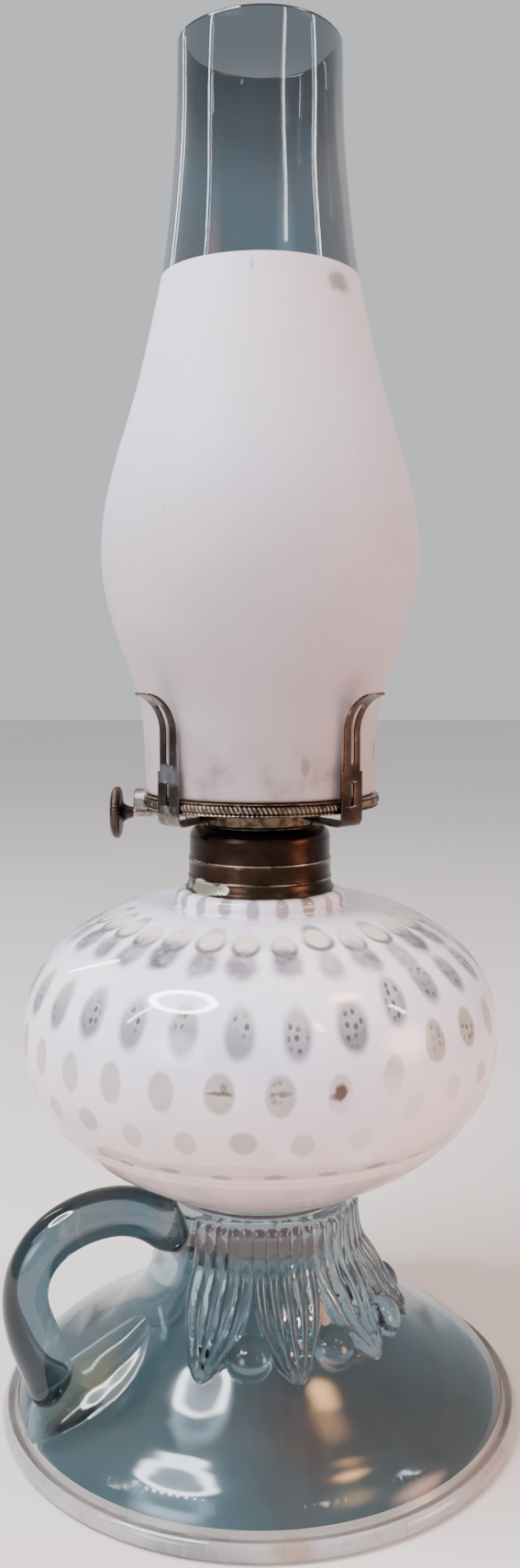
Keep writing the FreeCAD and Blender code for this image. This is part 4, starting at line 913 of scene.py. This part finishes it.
def prong(label, deg, mat, bow):
    verts, faces, cols = [], [], 8
    for i, s in enumerate(S):
        w, hgap = width_half(s), slot_half(s)
        ys = [-w, -w + 0.35, -(w + hgap) / 2, -max(hgap, 0.02), max(hgap, 0.02), (w + hgap) / 2, w - 0.35, w]
        for y in ys:
            off = bow * (1 - (y / 3.3) ** 2) * sstep(s, s_at(172), s_at(178))
            e = 0.0
            verts.append([PX[i] + off + pn[i, 0] * e, y, PZ[i] + pn[i, 1] * e])
    for i in range(len(S) - 1):
        gap = slot_half(S[i]) > 0.03 or slot_half(S[i + 1]) > 0.03
        for j in range(cols - 1):
            if j == 3 and gap:
                continue
            faces.append([i * cols + j, i * cols + j + 1, (i + 1) * cols + j + 1, (i + 1) * cols + j])
    vv = np.array(verts)
    a_ = math.radians(deg)
    R_ = np.array([[math.cos(a_), -math.sin(a_), 0], [math.sin(a_), math.cos(a_), 0], [0, 0, 1]])
    ob = make(label + "_strap", (vv @ R_.T) * MM, faces, [mat])
    for p_ in (ob,):
        md = p_.modifiers.new("thick", "SOLIDIFY"); md.thickness = TK * MM; md.offset = 0.0
        bv = p_.modifiers.new("edge", "BEVEL"); bv.width = 0.09 * MM; bv.segments = 2; bv.limit_method = "ANGLE"; bv.angle_limit = math.radians(50)
    place(ob, label, "spring_brass", label)
    return ob


for label, deg, mat in (("prong_front_right", -45, PRONG_BROWN), ("prong_rear_right", 45, PRONG_BROWN), ("prong_rear_left", 135, PRONG_BROWN), ("prong_front_left", 225, PRONG_GREY)):
    prong(label, deg, mat, 0.14)

# -------------------------------------------------------- thumbwheel ------
w0, w1 = -40.8, -38.0
tw = [(0.0, 0.55), (2.7, 0.5), (3.4, 0.15), (4.6, 0.02), (5.7, 0.12), (6.5, 0.5), (6.96, 1.0), (7.1, 1.5), (7.02, 2.1), (6.6, 2.55), (5.8, 2.78), (4.2, 2.95),
      (2.9, 3.3), (2.2, 4.0), (1.75, 5.0), (1.45, 6.2), (1.2, 6.2), (1.2, 2.8), (0.0, 2.8)]
twd = [tw[0]] + [tuple(q) for q in smooth_curve(tw[1:16], 60)] + tw[16:]


def milled(R, Z, az):
    on = sstep(R, 6.80, 7.05) * (Z > 0.8) * (Z < 2.4)
    return R - on * 0.10 * (np.cos(az * 48) > 0.3), Z


wheel = lathe("thumbwheel_button", twd, 384, [KNOB], sharp=55, axis_x=(w0, -5.6, 170.9), shape=milled)
place(wheel, "wick_knob", "aged_brass", "thumbwheel")

# ---------------------------------------------------------- chimney -------
flue = [(31.75, 176.3), (31.75, 183.0), (32.0, 190.0), (32.25, 195.0), (32.9, 200.0), (34.2, 205.0), (37.9, 215.0),
        (41.1, 225.0), (43.05, 235.0), (43.25, 243.0), (41.9, 255.0), (37.9, 270.0), (33.3, 285.0),
        (29.6, 300.0), (26.9, 312.0), (24.2, 330.0), (22.5, 350.0), (21.9, 374.0)]
LINE = 313.5
fo = smooth_curve(flue, 1200)
cz_rows = np.concatenate([np.linspace(177.3, LINE, 96), np.linspace(LINE, 373.0, 44)[1:]])
fr = np.interp(cz_rows, fo[:, 1], fo[:, 0])
outer = np.stack([fr, cz_rows], 1)
nn = normals_2d(outer)
nn = np.where((nn[:, 0] < 0)[:, None], -nn, nn)
inn = outer - nn * 2.0
top = arc(21.9 - 1.0, 373.0, 1.0, 0, 180, 9)
bot = arc(31.75 - 1.0, 177.3, 1.0, 180, 360, 9)
outer[0] = (31.75, 177.3)
inn[0] = (29.75, 177.3); inn[-1] = (19.93, 373.0)
top = [(21.93 + (p0 - 21.9), z) for p0, z in top]
cl_loop = np.concatenate([outer, np.array(top[1:-1]), inn[::-1], np.array(bot[1:-1])])


def hand_blown(R, Z, az):
    k = sstep(Z, 190, 215)
    j = sstep(Z, 300, 345)
    return R + k * (0.10 * np.sin(2 * az + 1.1) + 0.06 * np.sin(5 * az)) + j * (0.07 * np.sin(3 * az + Z * 0.05) + 0.05 * np.sin(7 * az + Z * 0.11)), Z + j * 0.15 * np.sin(2 * az + 0.4)


def chimney_mats(cr, cz, nf, seg):
    return np.where(cz < LINE, 1, 0)


chimney = lathe("chimney_glass", cl_loop, 256, [GLASS_CHIMNEY, FROST], sharp=80, mat_of=lambda cr, cz, nf, seg: np.where(cz < LINE * MM * 1000, 1, 0), shape=hand_blown)
place(chimney, "chimney", "frosted_glass", *[n_ for n_ in ("chimney", "chimney_mouth") if n_ in frame["nodes"]])

# --------------------------------------------------------------- wick -----
wz = np.linspace(98.0, 186.3, 220)
hw, ht = 7.9, 1.55
cs_pts = []
for t in np.linspace(0, TAU, 48, endpoint=False):
    c_, s_ = math.cos(t), math.sin(t)
    cs_pts.append((hw * math.copysign(abs(c_) ** 0.28, c_), ht * math.copysign(abs(s_) ** 0.45, s_)))
cs_pts = np.array(cs_pts)
wv = []
for i, z in enumerate(wz):
    rib_ = 1.0 - 0.05 * (0.5 + 0.5 * math.sin(z * 5.2))
    for x, y in cs_pts:
        yy = y * (rib_ - 0.03 * math.cos(x * 5.0))
        wv.append([x, yy, z + (0.25 * math.sin(x * 2.3) if i > 214 else 0.0) * (i - 214) / 6.0 if i > 214 else z])
wf = ring_faces(len(wz), 48)
wf.append(list(range(48))); wf.append([(len(wz) - 1) * 48 + j for j in range(48)][::-1])
wick = make("wick_tape", np.array(wv) * MM, wf, [COTTON], sharp=70)
place(wick, "wick", "cotton", "wick")

# -------------------------------------------- finishes on CAD nodes -------
FINISH = {
    "collar_plaster": PLASTER, "thread_plug": DARK, "burner_bowl": DARK, "shaft_bush": BARE, "shaft_bracket": BARE, "air_deck": BARE,
    "flame_deflector": BARE, "wick_tube": BARE, "prong_rivets": DARK, "wick_shaft": STEEL, "spur_wheels": STEEL,
}
for node, mt in FINISH.items():
    ob = frame["nodes"][node]
    if not ob.material_slots:
        ob.data.materials.append(mt)
    for sl in ob.material_slots:
        sl.link = "OBJECT"
        sl.material = mt

# -------------------------------------------------------------- stage -----
fm = Mat("floor_pale")
fm.set("Base Color", fm.mix(fm.noise(3.0, 2.0).ramp(0.3, 0.7), (0.745, 0.69, 0.655), (0.775, 0.72, 0.685)))
fm.set("Roughness", 0.8)
bpy.ops.mesh.primitive_plane_add(size=6.0, location=(0, 1.2, -0.0002))
floor = bpy.context.object
floor.name = "floor"
floor.data.materials.append(fm.m)

world = bpy.data.worlds.new("studio")
bpy.context.scene.world = world
world.use_nodes = True
wt = world.node_tree
bg = wt.nodes["Background"]
bg.inputs[0].default_value = (0.93, 0.95, 1.0, 1)
bg.inputs[1].default_value = 0.72


def area(name, az, elev, dist, size, power, col, about=(0, 0, 0.13), shape="RECTANGLE", soft=0.0, ring=False):
    """Soft light: az from straight in front toward +X, both angles in degrees."""
    ld = bpy.data.lights.new(name, "AREA")
    ld.shape = shape
    ld.size, ld.size_y = size
    ld.energy = power
    ld.color = col
    a_, e_ = math.radians(az), math.radians(elev)
    way = Vector((math.sin(a_) * math.cos(e_), -math.cos(a_) * math.cos(e_), math.sin(e_)))
    if soft:
        # the panel fades toward its edges like a diffused lamp
        ld.use_nodes = True
        nt = ld.node_tree
        em = nt.nodes["Emission"]
        tc = nt.nodes.new("ShaderNodeTexCoord")
        sub = nt.nodes.new("ShaderNodeVectorMath"); sub.operation = "SUBTRACT"; sub.inputs[1].default_value = (0.5, 0.5, 0.0)
        ln = nt.nodes.new("ShaderNodeVectorMath"); ln.operation = "LENGTH"
        mr = nt.nodes.new("ShaderNodeMapRange"); mr.interpolation_type = "SMOOTHSTEP"
        for i_, v_ in ((1, 0.5), (2, soft), (3, 0.0), (4, 1.0)):
            mr.inputs[i_].default_value = v_
        nt.links.new(tc.outputs["UV"], sub.inputs[0]); nt.links.new(sub.outputs[0], ln.inputs[0])
        nt.links.new(ln.outputs["Value"], mr.inputs[0]); nt.links.new(mr.outputs[0], em.inputs["Strength"])
        if ring:
            # a diffused ring lamp: dimmer in the middle
            m2 = nt.nodes.new("ShaderNodeMapRange"); m2.interpolation_type = "SMOOTHSTEP"
            for i_, v_ in ((1, 0.30), (2, 0.40), (3, 0.10), (4, 1.0)):
                m2.inputs[i_].default_value = v_
            mu = nt.nodes.new("ShaderNodeMath"); mu.operation = "MULTIPLY"
            nt.links.new(ln.outputs["Value"], m2.inputs[0])
            nt.links.new(mr.outputs[0], mu.inputs[0]); nt.links.new(m2.outputs[0], mu.inputs[1])
            nt.links.new(mu.outputs[0], em.inputs["Strength"])
    ob = bpy.data.objects.new(name, ld)
    ob.location = Vector(about) + way * dist
    ob.rotation_euler = way.to_track_quat("Z", "Y").to_euler()
    bpy.context.scene.collection.objects.link(ob)
    return ob


area("key_left", -62, 58, 0.95, (0.50, 0.44), 40.0, (0.88, 0.92, 1.0), shape="ELLIPSE", soft=0.45, ring=True)
area("warm_right", 72, 60, 0.95, (0.34, 0.26), 7.5, (1.0, 0.50, 0.20), shape="ELLIPSE", soft=0.05)
area("pink_fill", 70, 10, 1.1, (0.7, 0.7), 26.0, (1.0, 0.50, 0.34), soft=0.05)
area("lilac_front", -40, 12, 1.2, (0.8, 0.8), 21.0, (0.88, 0.88, 1.0), about=(0, 0, 0.24), soft=0.05)

# narrow strip boxes, which draw the long streaks on the glass
area("strip_a", -70, 29, 1.1, (0.032, 0.42), 1.3, (0.97, 0.99, 1.0), about=(0, 0, 0.30))
area("strip_b", -131, 25, 1.1, (0.030, 0.42), 1.0, (0.97, 0.99, 1.0), about=(0, 0, 0.30))
area("strip_c", 32, 31, 1.1, (0.06, 0.20), 0.7, (0.97, 0.99, 1.0), about=(0, 0, 0.30))
area("strip_d", 80, 28, 1.1, (0.05, 0.24), 1.0, (0.97, 0.99, 1.0), about=(0, 0, 0.30))
